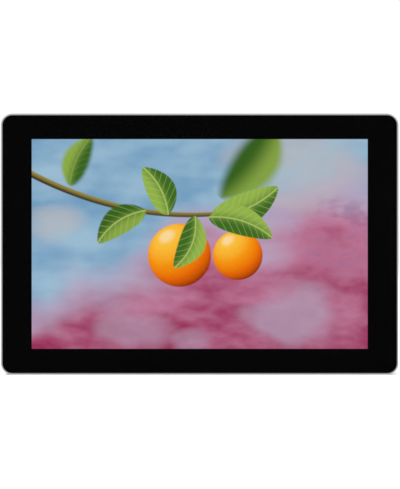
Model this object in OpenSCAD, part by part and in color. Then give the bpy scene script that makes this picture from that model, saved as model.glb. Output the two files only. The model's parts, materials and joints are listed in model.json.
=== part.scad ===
// Camera field monitor, seven inch, standing on its bottom edge.
// The front faces -Y, up is +Z, the origin is under the middle of the body on its standing face.
// "Depth" is measured back from the front face of the glass, and heights up from the standing face.

/* [Body] */
// Overall width
body_w = 178; // [170:1:190]
// Overall height
body_h = 117; // [112:1:126]
// Radius of the four outer corners
corner_r = 5.3; // [4.5:0.1:6]
// Width of the bright bevel round the glass
bevel_w = 0.95; // [0.6:0.05:1.1]
// Thickness of the rear cover
cover_t = 3; // [2.6:0.1:3.6]
// Bevel round the back edge of the rear cover
cover_bevel = 1.6; // [0.8:0.1:2]
// Thickness of the housing's side walls
side_wall = 2; // [1.8:0.1:2.4]
// Thickness of the housing's top and bottom walls
edge_wall = 2.5; // [2.2:0.1:3]

/* [Display] */
// From the body's left and right edges to the lit picture
side_border = 13.6; // [13.2:0.1:15]
// From the body's top and bottom edges to the lit picture
end_border = 11.4; // [11:0.1:13]
// How far the picture sits above the middle of the body
display_up = 0.2; // [0:0.1:0.5]
// Thickness of the cover glass
glass_t = 1.1; // [0.8:0.1:1.6]
// Thickness of the touch sensor
touch_t = 0.3; // [0.2:0.05:0.35]
// Thickness of the LCD cell
cell_t = 1.4; // [1:0.1:2]
// Thickness of the optical film stack
film_t = 0.6; // [0.4:0.1:0.9]
// Thickness of the light guide
guide_t = 2; // [1.8:0.1:3]
// Thickness of the backlight tray's floor
tray_t = 0.8; // [0.5:0.1:1.2]
// Thickness of the mid plate
mid_t = 1.8; // [1.4:0.1:2.4]

/* [Side bays] */
// How far the connector bays reach in from the sides
bay_x = 14; // [13.8:0.1:15]
// Height of the mounting block between two bays
mount_h = 26; // [25:1:30]
// Height of the corner blocks above and below the bays
end_h = 8.5; // [8.2:0.1:9]

/* [Electronics] */
// Height of the board standoffs
standoff_h = 2.6; // [2.4:0.1:4]
// Thickness of the main board
board_t = 1.6; // [1.2:0.1:2]
// Air space between the board and the fan
under_fan = 2.8; // [2.8:0.1:4]
// Width of the heat sink
sink_w = 36; // [32:1:37]
// Height of the heat sink
sink_h = 58; // [50:1:62]
// Number of cooling fins
fins = 19; // [13:1:19]
// Thickness of a cooling fin
fin_t = 0.9; // [0.7:0.1:1.1]

/* [Fan] */
// Side of the square fan frame
fan_w = 40; // [39:0.5:40]
// Depth of the fan
fan_t = 7; // [7:0.1:8]
// Number of fan blades
blades = 9; // [5:1:11]
// Turn of a blade from its front edge to its back edge, in degrees
blade_twist = 27; // [15:1:32]
// Sweep of a blade from root to tip, in degrees
blade_sweep = 24; // [5:1:35]

/* [Grilles] */
// Width of a grille slot
slot_w = 2.2; // [1.6:0.1:2.6]
// Distance from slot to slot
slot_pitch = 4; // [3.6:0.1:4.4]
// Number of slots in each grille
slot_rows = 15; // [11:1:15]

/* [Battery plate] */
// Width of the battery that slides in
battery_w = 38.4; // [37:0.1:39.4]
// Depth of the plate behind the rear cover
plate_d = 8; // [7.8:0.1:9]
// Height of the plate
plate_h = 84; // [80:1:88]
// Thickness of the plate's floor
floor_t = 3.6; // [3.4:0.1:4]
// How far the latch is pressed in
latch_travel = 1.6; // [1.2:0.1:1.8]

/* [Buttons] */
// Length of a button
button_w = 14; // [12:0.5:15]
// Width of a button
button_d = 5; // [4:0.5:6]
// Travel of a button
button_travel = 0.6; // [0.3:0.1:0.7]

/* [Mounting threads] */
// Radius of the thread hole, 1/4-20
thread_r = 2.6; // [2.4:0.05:3]
// Depth of the thread
thread_h = 8; // [6:0.5:8]

/* [Hidden] */
$fn = 64;

// Clearances shared by the whole part
gap = 0.3;         // between pieces of different bodies
seat_gap = 0.1;    // round a piece that sits in a pocket
slide_gap = 0.2;   // each side of a sliding piece
screw_fit = 0.05;  // round a screw's shank
past = 1;          // how far a cut runs past the face that it opens

// Depths of the layers
gasket_t = 0.4;
cell_d = glass_t + touch_t;
film_d = cell_d + cell_t;
guide_d = film_d + film_t;
tray_d = guide_d + guide_t;
mid_d = tray_d + tray_t;
chassis_d = mid_d + mid_t;
board_d = chassis_d + standoff_h;
parts_d = board_d + board_t;
fan_d = parts_d + under_fan;
cover_d = fan_d + fan_t;
plate_front = cover_d + cover_t;
total_d = plate_front + plate_d;
front_y = -total_d / 2;
mid_z = body_h / 2;
display_z = mid_z + display_up;

// Front frame and glass
glass_gap = 0.1;
glass_r = corner_r - bevel_w - glass_gap;
pocket_w = body_w - 2 * bevel_w;
pocket_h = body_h - 2 * bevel_w;
seam_t = 0.5;
seam_in = 0.4;

// Display module
active_w = body_w - 2 * side_border;
active_h = body_h - 2 * end_border;
cell_side = 3.6;
cell_end = 3.4;
cell_w = active_w + 2 * cell_side;
cell_h = active_h + 2 * cell_end;
tray_fit = 0.4;
tray_wall = 0.6;
tray_w = cell_w + 2 * (tray_fit + tray_wall);
tray_h = cell_h + 2 * (tray_fit + tray_wall);
tray_room = 0.8;
window_w = tray_w + 2 * tray_room;
window_h = tray_h + 2 * tray_room;
window_r = 2;
mid_lap = 1.4;
mid_w = window_w + 2 * mid_lap;
mid_h = window_h + 2 * mid_lap;
mid_r = 3;
mid_rib = 24;
mid_rim_side = 36;
mid_rim_end = 32;
mid_pocket_w = (mid_w - mid_rib) / 2 - mid_rim_side;
mid_pocket_h = mid_h - 2 * mid_rim_end;
mid_pocket_x = (mid_rib + mid_pocket_w) / 2;
mid_pocket_r = 4;
guide_lap = 1;
guide_w = active_w + 2 * guide_lap;
guide_h = active_h + 2 * guide_lap;
bar_t = 0.6;
led_h = 1;
led_w = 3;
leds = 24;
guide_gap = 0.15;
bar_space = bar_t + led_h + guide_gap;
nest_w = guide_w + 2 * guide_gap;
nest_h = guide_h + guide_gap + bar_space;
nest_z = display_z + (guide_gap - bar_space) / 2;
touch_side = 3;
touch_end = 2.5;
touch_w = active_w + 2 * touch_side;
touch_h = active_h + 2 * touch_end;

// Side bays and cavity
wall_x = body_w / 2 - bay_x;
bay_h = (body_h - mount_h) / 2 - end_h;
bay_r = 2;
bay_up = mount_h / 2 + bay_h / 2;
upper_bay_z = mid_z + bay_up;
lower_bay_z = mid_z - bay_up;
cavity_w = 2 * (wall_x - side_wall);
cavity_h = body_h - 2 * edge_wall;
cavity_r = 3;

// Mounting threads; the buttons lie at the same depth
insert_r = 4.5;
insert_floor = 2;
edge_in = 7;
thread_d = chassis_d + edge_in;
button_dep = chassis_d + edge_in;
boss_w = 20;
boss_h = thread_h + insert_floor;

// Screws: shank radius, head radius, head height
m25 = [1.25, 2.2, 1.6];
m3 = [1.5, 2.8, 1.6];
m2 = [1, 1.8, 1.3];
drive_depth = 0.8;
drive_share = 0.5;
corner_in = 3.8;
corner_up = 4.1;
block_in = 3;
frame_screw_grip = 9.5;
frame_head_in = 5;
frame_head_d = chassis_d + frame_head_in;
frame_spots = [for (x = [-1, 1], z = [-1, 1]) [x * (body_w / 2 - corner_in), mid_z + z * (mid_z - corner_up)],
    for (x = [-1, 1], z = [-1, 1]) [x * (body_w / 2 - block_in), mid_z + z * (mount_h / 2 - block_in)]];
cover_screw_l = 7;
cover_in = 10.5;
block_screw_x = wall_x + 4;
block_screw_up = 4.5;
button_in = 17;
button_x = cavity_w / 2 - button_in;
edge_screw_x = button_x - 18;
boss_screw_x = boss_w / 2 - 2.8;
cover_boss_r = 3.2;
cover_spots = [for (x = [-1, 1], z = [-1, 1]) [x * (body_w / 2 - cover_in), mid_z + z * (mid_z - end_h / 2)],
    for (x = [-1, 1], z = [-1, 1]) [x * block_screw_x, mid_z + z * (mount_h / 2 - block_screw_up)],
    for (x = [-1, 1], z = [-1, 1]) [x * edge_screw_x, mid_z + z * (mid_z - end_h / 2)],
    for (x = [-1, 1], z = [-1, 1]) [x * boss_screw_x, mid_z + z * (mid_z - boss_h / 2)]];

// Main board
board_side = 1.5;
board_w = cavity_w - 2 * board_side;
board_r = 2;
board_edge = 1;
board_low = boss_h + board_edge;
board_top = body_h - boss_h - board_edge;
board_h = board_top - board_low;
board_z = (board_top + board_low) / 2;
standoff_r = 2.4;
board_hole_in = 13.5;
board_hole_up = 5;
board_spots = [for (x = [-1, 0, 1], z = [-1, 1])
    [x * (board_w / 2 - board_hole_in), board_z + z * (board_h / 2 - board_hole_up)]];

// Width of the battery plate
battery_gap = 0.3;
slot_inner_w = battery_w + 2 * battery_gap;
rail_w = 3.5;
plate_w = slot_inner_w + 2 * rail_w;

// Cooling
grille_recess = 0.8;
grille_margin = 2.5;
grille_side = 6.5;
grille_plate = 1.5;
grille_w = wall_x - grille_side - 2 * grille_margin - plate_w / 2 - grille_plate;
grille_x = wall_x - grille_side - grille_margin - grille_w / 2;
fan_side = 8.5;
fan_x = -(cavity_w / 2 - fan_side - fan_w / 2);
fan_bore_r = 19;
fan_corner_r = 3;
fan_hole_in = 4;
fan_hole = fan_w / 2 - fan_hole_in;
fan_hub_r = 10;
fan_tip_r = 18.4;
fan_base_t = 1.2;
fan_strut_w = 2.2;
hub_wall = 1.2;
hub_cap_t = 0.9;
rotor_room = 0.6;
rotor_d = fan_d + fan_base_t + rotor_room;
rotor_back = cover_d - rotor_room;
rotor_h = rotor_back - rotor_d;
shaft_r = 1;
shaft_gap = 0.05;
bearing_r = 3;
bearing_back = rotor_back - hub_cap_t - gap;
blade_t = 1.1;
blade_root_in = 0.7;
blade_in = 0.3;
blade_slices = 6;
sink_side = 9.5;
sink_x = cavity_w / 2 - sink_side - sink_w / 2;
sink_base_t = 2;
sink_gap = 0.4;
chip_w = 23;
chip_t = 1.6;
pad_t = 0.5;
sink_d = parts_d + chip_t + pad_t;
sink_top = cover_d - sink_gap;
sink_screw_in = 3;
sink_screw_up = 5;
sink_screw_x = sink_w / 2 - sink_screw_in;
sink_screw_z = sink_h / 2 - sink_screw_up;

// Connectors: the reach of their bodies inside the wall, from the outside face
inner_reach = 10.3;
bnc_in = 4.1;
bnc_d = parts_d + bnc_in;
bnc_spread = 8;
bnc_length = 13.2;
bnc_barrel_r = 4.8;
bnc_bore_r = 4.05;
bnc_thread_r = 5.4;
bnc_nut_af = 13;
bnc_nut_t = 2.2;
bnc_block = [9.5, 8.6, 12];
bnc_lug_r = 1;
bnc_lug_reach = 5.5;
bnc_lug_in = 5;
bnc_core_r = 2.4;
bnc_core_in = 1.7;
bnc_disc_t = 1;
bnc_pin_r = 1.1;
bnc_pin_in = 1.9;
bnc_pin_bore_r = 0.65;
bnc_pin_bore_l = 5.1;
hdmi_w = 15;
hdmi_t = 5.4;
hdmi_wall = 0.4;
hdmi_key = 1.6;
hdmi_tongue = [11.2, 1.2];
tongue_in = 1.5;
tongue_root = 2;
left_hdmi_up = 5.5;
left_hdmi_z = lower_bay_z + left_hdmi_up;
right_hdmi_up = 6.3;
right_hdmi_z = upper_bay_z + right_hdmi_up;
usb_w = 9;
usb_t = 3.2;
usb_wall = 0.3;
usb_tongue_size = [6.6, 0.7];
usb_down = 10.6;
usb_z = upper_bay_z - usb_down;
jack_down = 11;
jack_z = lower_bay_z - jack_down;
jack_body = [11, 6, 6];
jack_bore_r = 1.8;
jack_nose = 5.4;
jack_nose_r = 1.2;
jack_bore_l = 12;
round_d = bnc_d;
round_spread = 8.5;
round_r = 4.5;
round_flange_r = 5.4;
round_flange_t = 1.4;
round_bore_r = 3.4;
round_core_r = 2.7;
round_depth = 6;
round_base_l = 2.5;
round_core_in = 1.2;
round_pin_ring = 1.5;
round_pin_in = 1.4;
round_tail = 1.5;
round_nut_af = 10.4;
round_nut_t = 2;
board_notch = side_wall + round_depth + round_tail + gap;

// Battery plate
hook_t = 1.6;
hook_in = 1.6;
hook_l = 11;
hook_spread = 15;
plate_r = 3;
floor_d = plate_front + floor_t;
plate_low = mid_z - plate_h / 2;
terminal_up = 13;
terminal_low = plate_low + terminal_up;
terminal_h = 5.8;
terminal_w = 30;
blade_spots = [-10.5, 6.6, 10.5];
contact_t = 0.8;
contact_w = 2.4;
contact_l = 5;
latch_w = 8;
latch_flange = 1.3;
latch_pad_h = 8.5;
latch_pad_out = 3.4;
latch_up = 3.5;
latch_low = plate_low + latch_up;
latch_neck_top = terminal_low + terminal_h + gap;
pawl_flat = 1;
pawl_l = 5;
latch_top = latch_neck_top + pawl_l;
latch_slot_h = latch_top - latch_low + 2 * gap;
latch_bar_t = 1.9;
latch_lip_t = 0.7;
latch_flange_t = latch_bar_t - latch_lip_t;
latch_pocket = 1;
latch_back_d = floor_d - gap;
latch_front_d = latch_back_d - latch_bar_t;
spring_w = 6;
spring_l = 14;
spring_t = 0.3;
plate_screw_x = 15;
plate_screw_in = 7;

// Buttons
button_sink = 0.3;
button_gap = 0.15;
button_flange = 0.8;
button_flange_t = 1;
nub_h = 0.6;
switch_w = 6;
switch_h = 3;
stem_r = 1.6;
stem_h = 0.8;
nub_bottom = body_h - edge_wall - gap - button_flange_t - nub_h;
stem_top = nub_bottom - button_travel - seat_gap;
switch_board_top = stem_top - stem_h - switch_h;
switch_board_t = 1;
switch_board_w = 28;
switch_board_d = 9;
post_w = 3;
post_x = switch_board_w / 2 - post_w / 2;
light_side = 2.2;
light_x = button_x - button_w / 2 - light_side;
light_r = 0.9;
led_chip = [1.6, 1.4, 0.6];

// ---- Building blocks ----

// A flat shape drawn across X and up Z, thickened from depth d back by t
module slab(d, t) {
    translate([0, front_y + d + t, 0]) rotate([90, 0, 0]) linear_extrude(t) children();
}

// A round bar that runs back from depth d
module drum(x, z, d, t, r) {
    translate([x, front_y + d, z]) rotate([-90, 0, 0]) cylinder(h = t, r = r);
}

// A cone that runs back from depth d
module cone(x, z, d, t, r1, r2) {
    translate([x, front_y + d, z]) rotate([-90, 0, 0]) cylinder(h = t, r1 = r1, r2 = r2);
}

// A round bar that runs out along +X from x
module axle(x, d, z, l, r) {
    translate([x, front_y + d, z]) rotate([0, 90, 0]) cylinder(h = l, r = r);
}

// A block given by its centre across X and Z, its front depth and its size
module block(x, z, d, w, h, t) {
    translate([x - w / 2, front_y + d, z - h / 2]) cube([w, t, h]);
}

// A shape in depth and height, carried w wide across X about x
module carry_x(x, w) {
    translate([x - w / 2, front_y, 0]) rotate([90, 0, 90]) linear_extrude(w) children();
}

// A rectangle with round corners, about its own middle
module rounded(w, h, r) {
    square([w - 2 * r, h], center = true);
    square([w, h - 2 * r], center = true);
    for (x = [-1, 1], y = [-1, 1]) translate([x * (w / 2 - r), y * (h / 2 - r)]) circle(r);
}

// A slot with round ends
module obround(w, h) {
    square([w - h, h], center = true);
    for (x = [-1, 1]) translate([x * (w - h) / 2, 0]) circle(h / 2);
}

// A rounded slab, face at y = 0 and t deep, whose face edge is bevelled by c all round
module bevelled(w, h, r, t, c) {
    across = [[-w / 2, t], [-w / 2, c], [-w / 2 + c, 0], [w / 2 - c, 0], [w / 2, c], [w / 2, t]];
    up = [[t, -h / 2], [c, -h / 2], [0, -h / 2 + c], [0, h / 2 - c], [c, h / 2], [t, h / 2]];
    linear_extrude(h - 2 * r, center = true) polygon(across);
    rotate([90, 0, 90]) linear_extrude(w - 2 * r, center = true) polygon(up);
    for (x = [-1, 1], z = [-1, 1]) translate([x * (w / 2 - r), 0, z * (h / 2 - r)]) rotate([-90, 0, 0]) {
        cylinder(h = c, r1 = r - c, r2 = r);
        translate([0, 0, c]) cylinder(h = t - c, r = r);
    }
}

// Puts its children on the right side, or mirrored on the left
module on_side(s) {
    if (s < 0) mirror([1, 0, 0]) children();
    else children();
}

// A pan head screw seen from the back: head at depth d, shank running forward by l
module back_screw(spot, d, size, l) {
    difference() {
        union() {
            drum(spot[0], spot[1], d, size[2], size[1]);
            drum(spot[0], spot[1], d - l, l + seam_t, size[0]);
        }
        translate([spot[0], front_y + d + size[2] - drive_depth, spot[1]]) rotate([-90, 0, 0])
            cylinder(h = drive_depth + past, r = size[1] * drive_share, $fn = 6);
    }
}

// A countersunk screw, its flat head flush at depth d, shank running forward by l
module flush_screw(spot, d, size, l) {
    difference() {
        union() {
            cone(spot[0], spot[1], d - size[2], size[2], size[0], size[1]);
            drum(spot[0], spot[1], d - l, l - size[2] + seam_t, size[0]);
        }
        translate([spot[0], front_y + d - drive_depth, spot[1]]) rotate([-90, 0, 0])
            cylinder(h = drive_depth + past, r = size[1] * drive_share, $fn = 6);
    }
}

// The hole for a countersunk screw
module flush_hole(spot, d, size, l) {
    cone(spot[0], spot[1], d - size[2], size[2], size[0], size[1]);
    drum(spot[0], spot[1], d, past, size[1]);
    drum(spot[0], spot[1], d - l, l, size[0] + screw_fit);
}

// A lead along a smooth curve from a to b, leaving along u and arriving along v
lead_steps = 8;
lead_sides = 8;
function lead_point(a, u, v, b, t) = pow(1 - t, 3) * a + 3 * t * pow(1 - t, 2) * (a + u)
    + 3 * t * t * (1 - t) * (b - v) + t * t * t * b;
function lead_slope(a, u, v, b, t) = pow(1 - t, 2) * u + 2 * t * (1 - t) * (b - v - a - u) + t * t * v;
function unit(v) = v / norm(v);
function lead_ring(a, u, v, b, t, r) = let(h = unit(lead_slope(a, u, v, b, t)), q = unit(cross([1, 0, 0], h)))
    [for (k = [0 : lead_sides - 1]) lead_point(a, u, v, b, t)
        + r * (cos(k * 360 / lead_sides) * q + sin(k * 360 / lead_sides) * cross(h, q))];
module lead(a, u, v, b, r) {
    n = lead_sides;
    rings = [for (i = [0 : lead_steps]) each lead_ring(a, u, v, b, i / lead_steps, r)];
    walls = [for (i = [0 : lead_steps - 1], k = [0 : n - 1])
        let(p = i * n + k, q = i * n + (k + 1) % n) each [[p, p + n, q], [q, p + n, q + n]]];
    ends = [[for (k = [0 : n - 1]) k], [for (k = [n - 1 : -1 : 0]) lead_steps * n + k]];
    polyhedron(rings, concat(walls, ends));
}

// A hexagonal nut on an axis along +X
module nut_x(x, d, z, af, t, bore_r) {
    difference() {
        translate([x, front_y + d, z]) rotate([0, 90, 0]) cylinder(h = t, r = af / sqrt(3), $fn = 6);
        axle(x - past, d, z, t + 2 * past, bore_r);
    }
}

// ---- Display stack ----

module cover_glass() {
    color([0.02, 0.02, 0.025]) slab(0, glass_t) translate([0, mid_z])
        rounded(pocket_w - 2 * glass_gap, pocket_h - 2 * glass_gap, glass_r);
}

module glass_gasket() {
    color([0.08, 0.08, 0.08]) slab(glass_t, gasket_t) difference() {
        translate([0, mid_z]) rounded(pocket_w - 2 * glass_gap, pocket_h - 2 * glass_gap, glass_r);
        translate([0, display_z]) square([cell_w + 2 * gap, cell_h + 2 * gap], center = true);
    }
}

module touch_sensor() {
    color([0.55, 0.6, 0.62]) slab(glass_t, touch_t) translate([0, display_z])
        square([touch_w, touch_h], center = true);
}

module lcd_panel() {
    color([0.35, 0.5, 0.65]) slab(cell_d, cell_t) translate([0, display_z])
        square([cell_w, cell_h], center = true);
}

module optical_films() {
    color([0.9, 0.92, 0.93]) slab(film_d, film_t) translate([0, display_z])
        square([guide_w, guide_h], center = true);
}

module light_guide() {
    color([0.85, 0.95, 0.98]) slab(guide_d, guide_t) translate([0, display_z])
        square([guide_w, guide_h], center = true);
}

// A strip of LEDs that shines up into the bottom edge of the light guide
module led_light_bar() {
    bar_z = display_z - guide_h / 2 - guide_gap - led_h - bar_t;
    color([0.95, 0.93, 0.75]) {
        block(0, bar_z + bar_t / 2, guide_d, guide_w, bar_t, guide_t);
        for (i = [0 : leds - 1])
            block((i - (leds - 1) / 2) * guide_w / leds, bar_z + bar_t + led_h / 2, guide_d + gap,
                led_w, led_h, guide_t - 2 * gap);
    }
}

// The white moulding that the light guide and films lie in, with the LCD cell on its front
module panel_frame() {
    color([0.93, 0.93, 0.9]) slab(film_d, film_t + guide_t) difference() {
        translate([0, display_z])
            square([cell_w + 2 * (tray_fit - seat_gap), cell_h + 2 * (tray_fit - seat_gap)], center = true);
        translate([0, nest_z]) square([nest_w, nest_h], center = true);
    }
}

module backlight_tray() {
    lip_d = cell_d + seat_gap;
    color([0.75, 0.76, 0.78]) difference() {
        slab(lip_d, mid_d - lip_d) translate([0, display_z]) square([tray_w, tray_h], center = true);
        slab(lip_d - past, tray_d - lip_d + past) translate([0, display_z])
            square([tray_w - 2 * tray_wall, tray_h - 2 * tray_wall], center = true);
    }
}

// ---- Casing ----

module bay_cuts() {
    for (x = [-1, 1], z = [-1, 1]) translate([x * (wall_x + bay_x), mid_z + z * bay_up])
        rounded(2 * bay_x, bay_h, bay_r);
}

// Front frame: bevelled rim, pocket for the glass, window for the display module, seat for the mid plate
module front_chassis() {
    color([0.16, 0.16, 0.17]) difference() {
        union() {
            translate([0, front_y, mid_z]) bevelled(body_w, body_h, corner_r, chassis_d - seam_t, bevel_w);
            slab(chassis_d - seam_t, seam_t) translate([0, mid_z])
                rounded(body_w - 2 * seam_in, body_h - 2 * seam_in, corner_r - seam_in);
        }
        slab(-past, glass_t + gasket_t + past) translate([0, mid_z])
            rounded(pocket_w, pocket_h, corner_r - bevel_w);
        slab(0, chassis_d + past) translate([0, display_z]) rounded(window_w, window_h, window_r);
        slab(mid_d, mid_t + past) translate([0, display_z]) rounded(mid_w, mid_h, mid_r);
        for (spot = frame_spots)
            drum(spot[0], spot[1], frame_head_d - frame_screw_grip, frame_screw_grip, m25[0] + screw_fit);
    }
}

// Stiff plate behind the display, with windows for the two ribbons and pressed lightening pockets
module mid_plate() {
    color([0.6, 0.61, 0.63]) difference() {
        slab(mid_d, mid_t) translate([0, display_z])
            rounded(mid_w - 2 * seat_gap, mid_h - 2 * seat_gap, mid_r - seat_gap);
        slab(mid_d - past, mid_t + 2 * past) {
            for (r = ribbons) translate([r[0], ribbon_z])
                square([r[1] + 2 * ribbon_room, ribbon_slot_h], center = true);
        }
        slab(chassis_d - mid_t / 2, mid_t) for (x = [-1, 1])
            translate([x * mid_pocket_x, mid_z]) rounded(mid_pocket_w, mid_pocket_h, mid_pocket_r);
    }
}

// Main housing: two C-shaped halves with solid corners, which the mount blocks join at top and bottom
module main_housing() {
    color([0.13, 0.13, 0.14]) difference() {
        union() {
            slab(chassis_d, cover_d - chassis_d) difference() {
                translate([0, mid_z]) rounded(body_w, body_h, corner_r);
                translate([0, mid_z]) rounded(cavity_w, cavity_h, cavity_r);
                for (x = [-1, 1]) translate([x * (wall_x + bay_x), mid_z])
                    rounded(2 * bay_x, body_h - 2 * end_h, bay_r);
                translate([0, mid_z]) square([boss_w, body_h + 2 * past], center = true);
            }
            for (x = [-1, 1], z = [-1, 1]) {
                slab(chassis_d, cover_d - chassis_d)
                    translate([x * edge_screw_x, mid_z + z * (mid_z - end_h / 2)]) circle(cover_boss_r);
                block(x * edge_screw_x, mid_z + z * (mid_z - end_h / 4), chassis_d,
                    2 * cover_boss_r, end_h / 2, cover_d - chassis_d);
            }
            for (x = [-1, 1], side = [-1, 1])
                translate([x * button_x + side * post_x, front_y + button_dep,
                        (switch_board_top + body_h - edge_wall / 2) / 2])
                    cube([post_w, post_w, body_h - edge_wall / 2 - switch_board_top], center = true);
        }
        for (s = [-1, 1]) translate([s * button_x, front_y + button_dep, body_h - 2 * edge_wall])
            linear_extrude(3 * edge_wall) obround(button_w, button_d);
        translate([light_x, front_y + button_dep, body_h - 2 * edge_wall])
            cylinder(h = 3 * edge_wall, r = light_r + screw_fit);
        screw_holes();
        connector_holes();
    }
}

// Holes of the frame screws, with room for their heads, and of the cover screws
module screw_holes() {
    for (spot = frame_spots) {
        drum(spot[0], spot[1], chassis_d - past, frame_head_d - chassis_d + 2 * past, m25[0] + screw_fit);
        drum(spot[0], spot[1], frame_head_d, cover_d - frame_head_d + past, m25[1] + seat_gap);
    }
    for (spot = cover_spots)
        drum(spot[0], spot[1], plate_front - cover_screw_l, cover_screw_l, m3[0] + screw_fit);
}

// Four blocks that carry the threads: left and right between the bays, top and bottom between the halves
module mount_blocks() {
    color([0.13, 0.13, 0.14]) difference() {
        slab(chassis_d, cover_d - chassis_d) for (s = [-1, 1]) {
            translate([s * (wall_x + bay_x / 2), mid_z]) square([bay_x, mount_h], center = true);
            translate([0, mid_z + s * (mid_z - boss_h / 2)])
                square([boss_w - 2 * seat_gap, boss_h], center = true);
        }
        for (s = [-1, 1], on_edge = [0, 1]) insert_place(s, on_edge)
            cylinder(h = thread_h + past, r = insert_r);
        screw_holes();
    }
}

// Holes through the housing's side walls for the connectors
module connector_holes() {
    hole_l = side_wall + 2 * past;
    hole_x = wall_x - side_wall - past;
    on_side(-1) {
        for (z = [-1, 1]) axle(hole_x, bnc_d, upper_bay_z + z * bnc_spread, hole_l, bnc_thread_r + seat_gap);
        translate([hole_x, front_y + parts_d + hdmi_t / 2, left_hdmi_z])
            cube([2 * hole_l, hdmi_t + 2 * seat_gap, hdmi_w + 2 * seat_gap], center = true);
        jack_nose_at(hole_x, hole_l, seat_gap);
    }
    for (z = [-1, 1]) axle(hole_x, round_d, lower_bay_z + z * round_spread, hole_l, round_r + seat_gap);
    translate([hole_x, front_y + parts_d + hdmi_t / 2, right_hdmi_z])
        cube([2 * hole_l, hdmi_t + 2 * seat_gap, hdmi_w + 2 * seat_gap], center = true);
    translate([hole_x, front_y + parts_d + usb_t / 2, usb_z])
        cube([2 * hole_l, usb_t + 2 * seat_gap, usb_w + 2 * seat_gap], center = true);
}

// One grille: rows of slots with round ends, kept clear of the pads given as spots
module grille_slots(x, spots) {
    difference() {
        for (i = [0 : slot_rows - 1])
            translate([x, mid_z + (i - (slot_rows - 1) / 2) * slot_pitch]) obround(grille_w, slot_w);
        for (spot = spots) translate(spot) circle(cover_boss_r);
    }
}

function fan_spots() = [for (x = [-1, 1], z = [-1, 1]) [fan_x + x * fan_hole, mid_z + z * fan_hole]];

// Rear cover: bevelled plate with a recessed grille over the fan and one over the cooling fins
module rear_cover() {
    grille_h = (slot_rows - 1) * slot_pitch + slot_w;
    color([0.13, 0.13, 0.14]) difference() {
        union() {
            translate([0, front_y + plate_front, mid_z]) mirror([0, 1, 0])
                bevelled(body_w, body_h, corner_r, cover_t - seam_t, cover_bevel);
            slab(cover_d, seam_t) translate([0, mid_z])
                rounded(body_w - 2 * seam_in, body_h - 2 * seam_in, corner_r - seam_in);
        }
        slab(cover_d - past, cover_t + 2 * past) bay_cuts();
        for (s = [-1, 1]) slab(plate_front - grille_recess, grille_recess + past)
            translate([s * grille_x, mid_z])
                rounded(grille_w + 2 * grille_margin, grille_h + 2 * grille_margin, cavity_r);
        slab(cover_d - past, cover_t + past) {
            grille_slots(-grille_x, fan_spots());
            grille_slots(grille_x, []);
        }
        for (spot = fan_spots())
            drum(spot[0], spot[1], cover_d - past, past + fan_screw_bite, m2[0] + screw_fit);
        for (spot = cover_spots) flush_hole(spot, plate_front, m3, cover_t + past);
        for (spot = plate_spots())
            drum(spot[0], spot[1], cover_d - past, cover_t + 2 * past, m3[0] + screw_fit);
        slab(plate_front - latch_pocket, latch_pocket + past)
            translate([0, (latch_low + latch_top) / 2])
                square([latch_w + 2 * (latch_flange + slide_gap), latch_slot_h], center = true);
        drum(lead_x, lead_z, cover_d - past, cover_t + 2 * past, lead_hole_r);
    }
}

// Where an insert starts, its axis pointing out of the body: on a side, or on the top or bottom edge
module insert_place(s, on_edge) {
    if (on_edge) translate([0, front_y + thread_d, mid_z]) rotate([90 - s * 90, 0, 0])
        translate([0, 0, mid_z - thread_h]) children();
    else translate([0, front_y + thread_d, mid_z]) rotate([0, s * 90, 0])
        translate([0, 0, body_w / 2 - thread_h]) children();
}

// Four 1/4 inch thread inserts, pressed in on the left, right, top and bottom
module thread_inserts() {
    color([0.72, 0.73, 0.75]) for (s = [-1, 1], on_edge = [0, 1]) insert_place(s, on_edge) difference() {
        cylinder(h = thread_h, r = insert_r);
        translate([0, 0, -past]) cylinder(h = thread_h + 2 * past, r = thread_r);
    }
}

module frame_screws() {
    color([0.35, 0.35, 0.37]) for (spot = frame_spots)
        back_screw(spot, frame_head_d, m25, frame_screw_grip);
}

module cover_screws() {
    color([0.3, 0.3, 0.32]) for (spot = cover_spots) flush_screw(spot, plate_front, m3, cover_screw_l);
}

// ---- Electronics ----

module main_board() {
    color([0.05, 0.22, 0.14]) slab(board_d, board_t) difference() {
        translate([0, board_z]) rounded(board_w, board_h, board_r);
        for (spot = board_spots) translate(spot) circle(m25[0] + seat_gap);
        for (spot = sink_spots()) translate(spot) circle(m2[0] + seat_gap);
        translate([wall_x - board_notch, lower_bay_z - bay_h]) square([board_notch, 3 * bay_h / 2]);
    }
}

module board_standoffs() {
    color([0.8, 0.7, 0.4]) for (spot = board_spots) difference() {
        translate([spot[0], front_y + chassis_d, spot[1]]) rotate([-90, 0, 0])
            cylinder(h = standoff_h, r = standoff_r, $fn = 6);
        drum(spot[0], spot[1], chassis_d - past, standoff_h + 2 * past, m25[0] + screw_fit);
    }
}

module board_screws() {
    color([0.75, 0.75, 0.77]) for (spot = board_spots)
        back_screw(spot, parts_d, m25, board_t + standoff_h);
}

// Chips on the board: [share of the half width, share of the half height, width, length, thickness]
chips = [[-0.140, 0.326, 9, 9, 1.2], [0.140, 0.242, 12, 12, 1.4], [-0.140, 0.042, 7, 11, 1.1],
    [0.252, -0.053, 8, 8, 1.1], [-0.559, 0.705, 10, 14, 1.6], [-0.308, 0.789, 7, 7, 1.1],
    [0.343, 0.811, 9, 9, 1.3], [0.587, 0.789, 12, 8, 2.2], [-0.615, -0.768, 14, 9, 2],
    [-0.336, -0.705, 8, 8, 1.2], [0.336, -0.768, 10, 10, 2.4], [0.671, -0.832, 12, 7, 2.2],
    [-0.476, -0.179, 6, 6, 1], [-0.699, 0.158, 6, 6, 1], [-0.755, -0.474, 5, 8, 1]];
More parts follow.
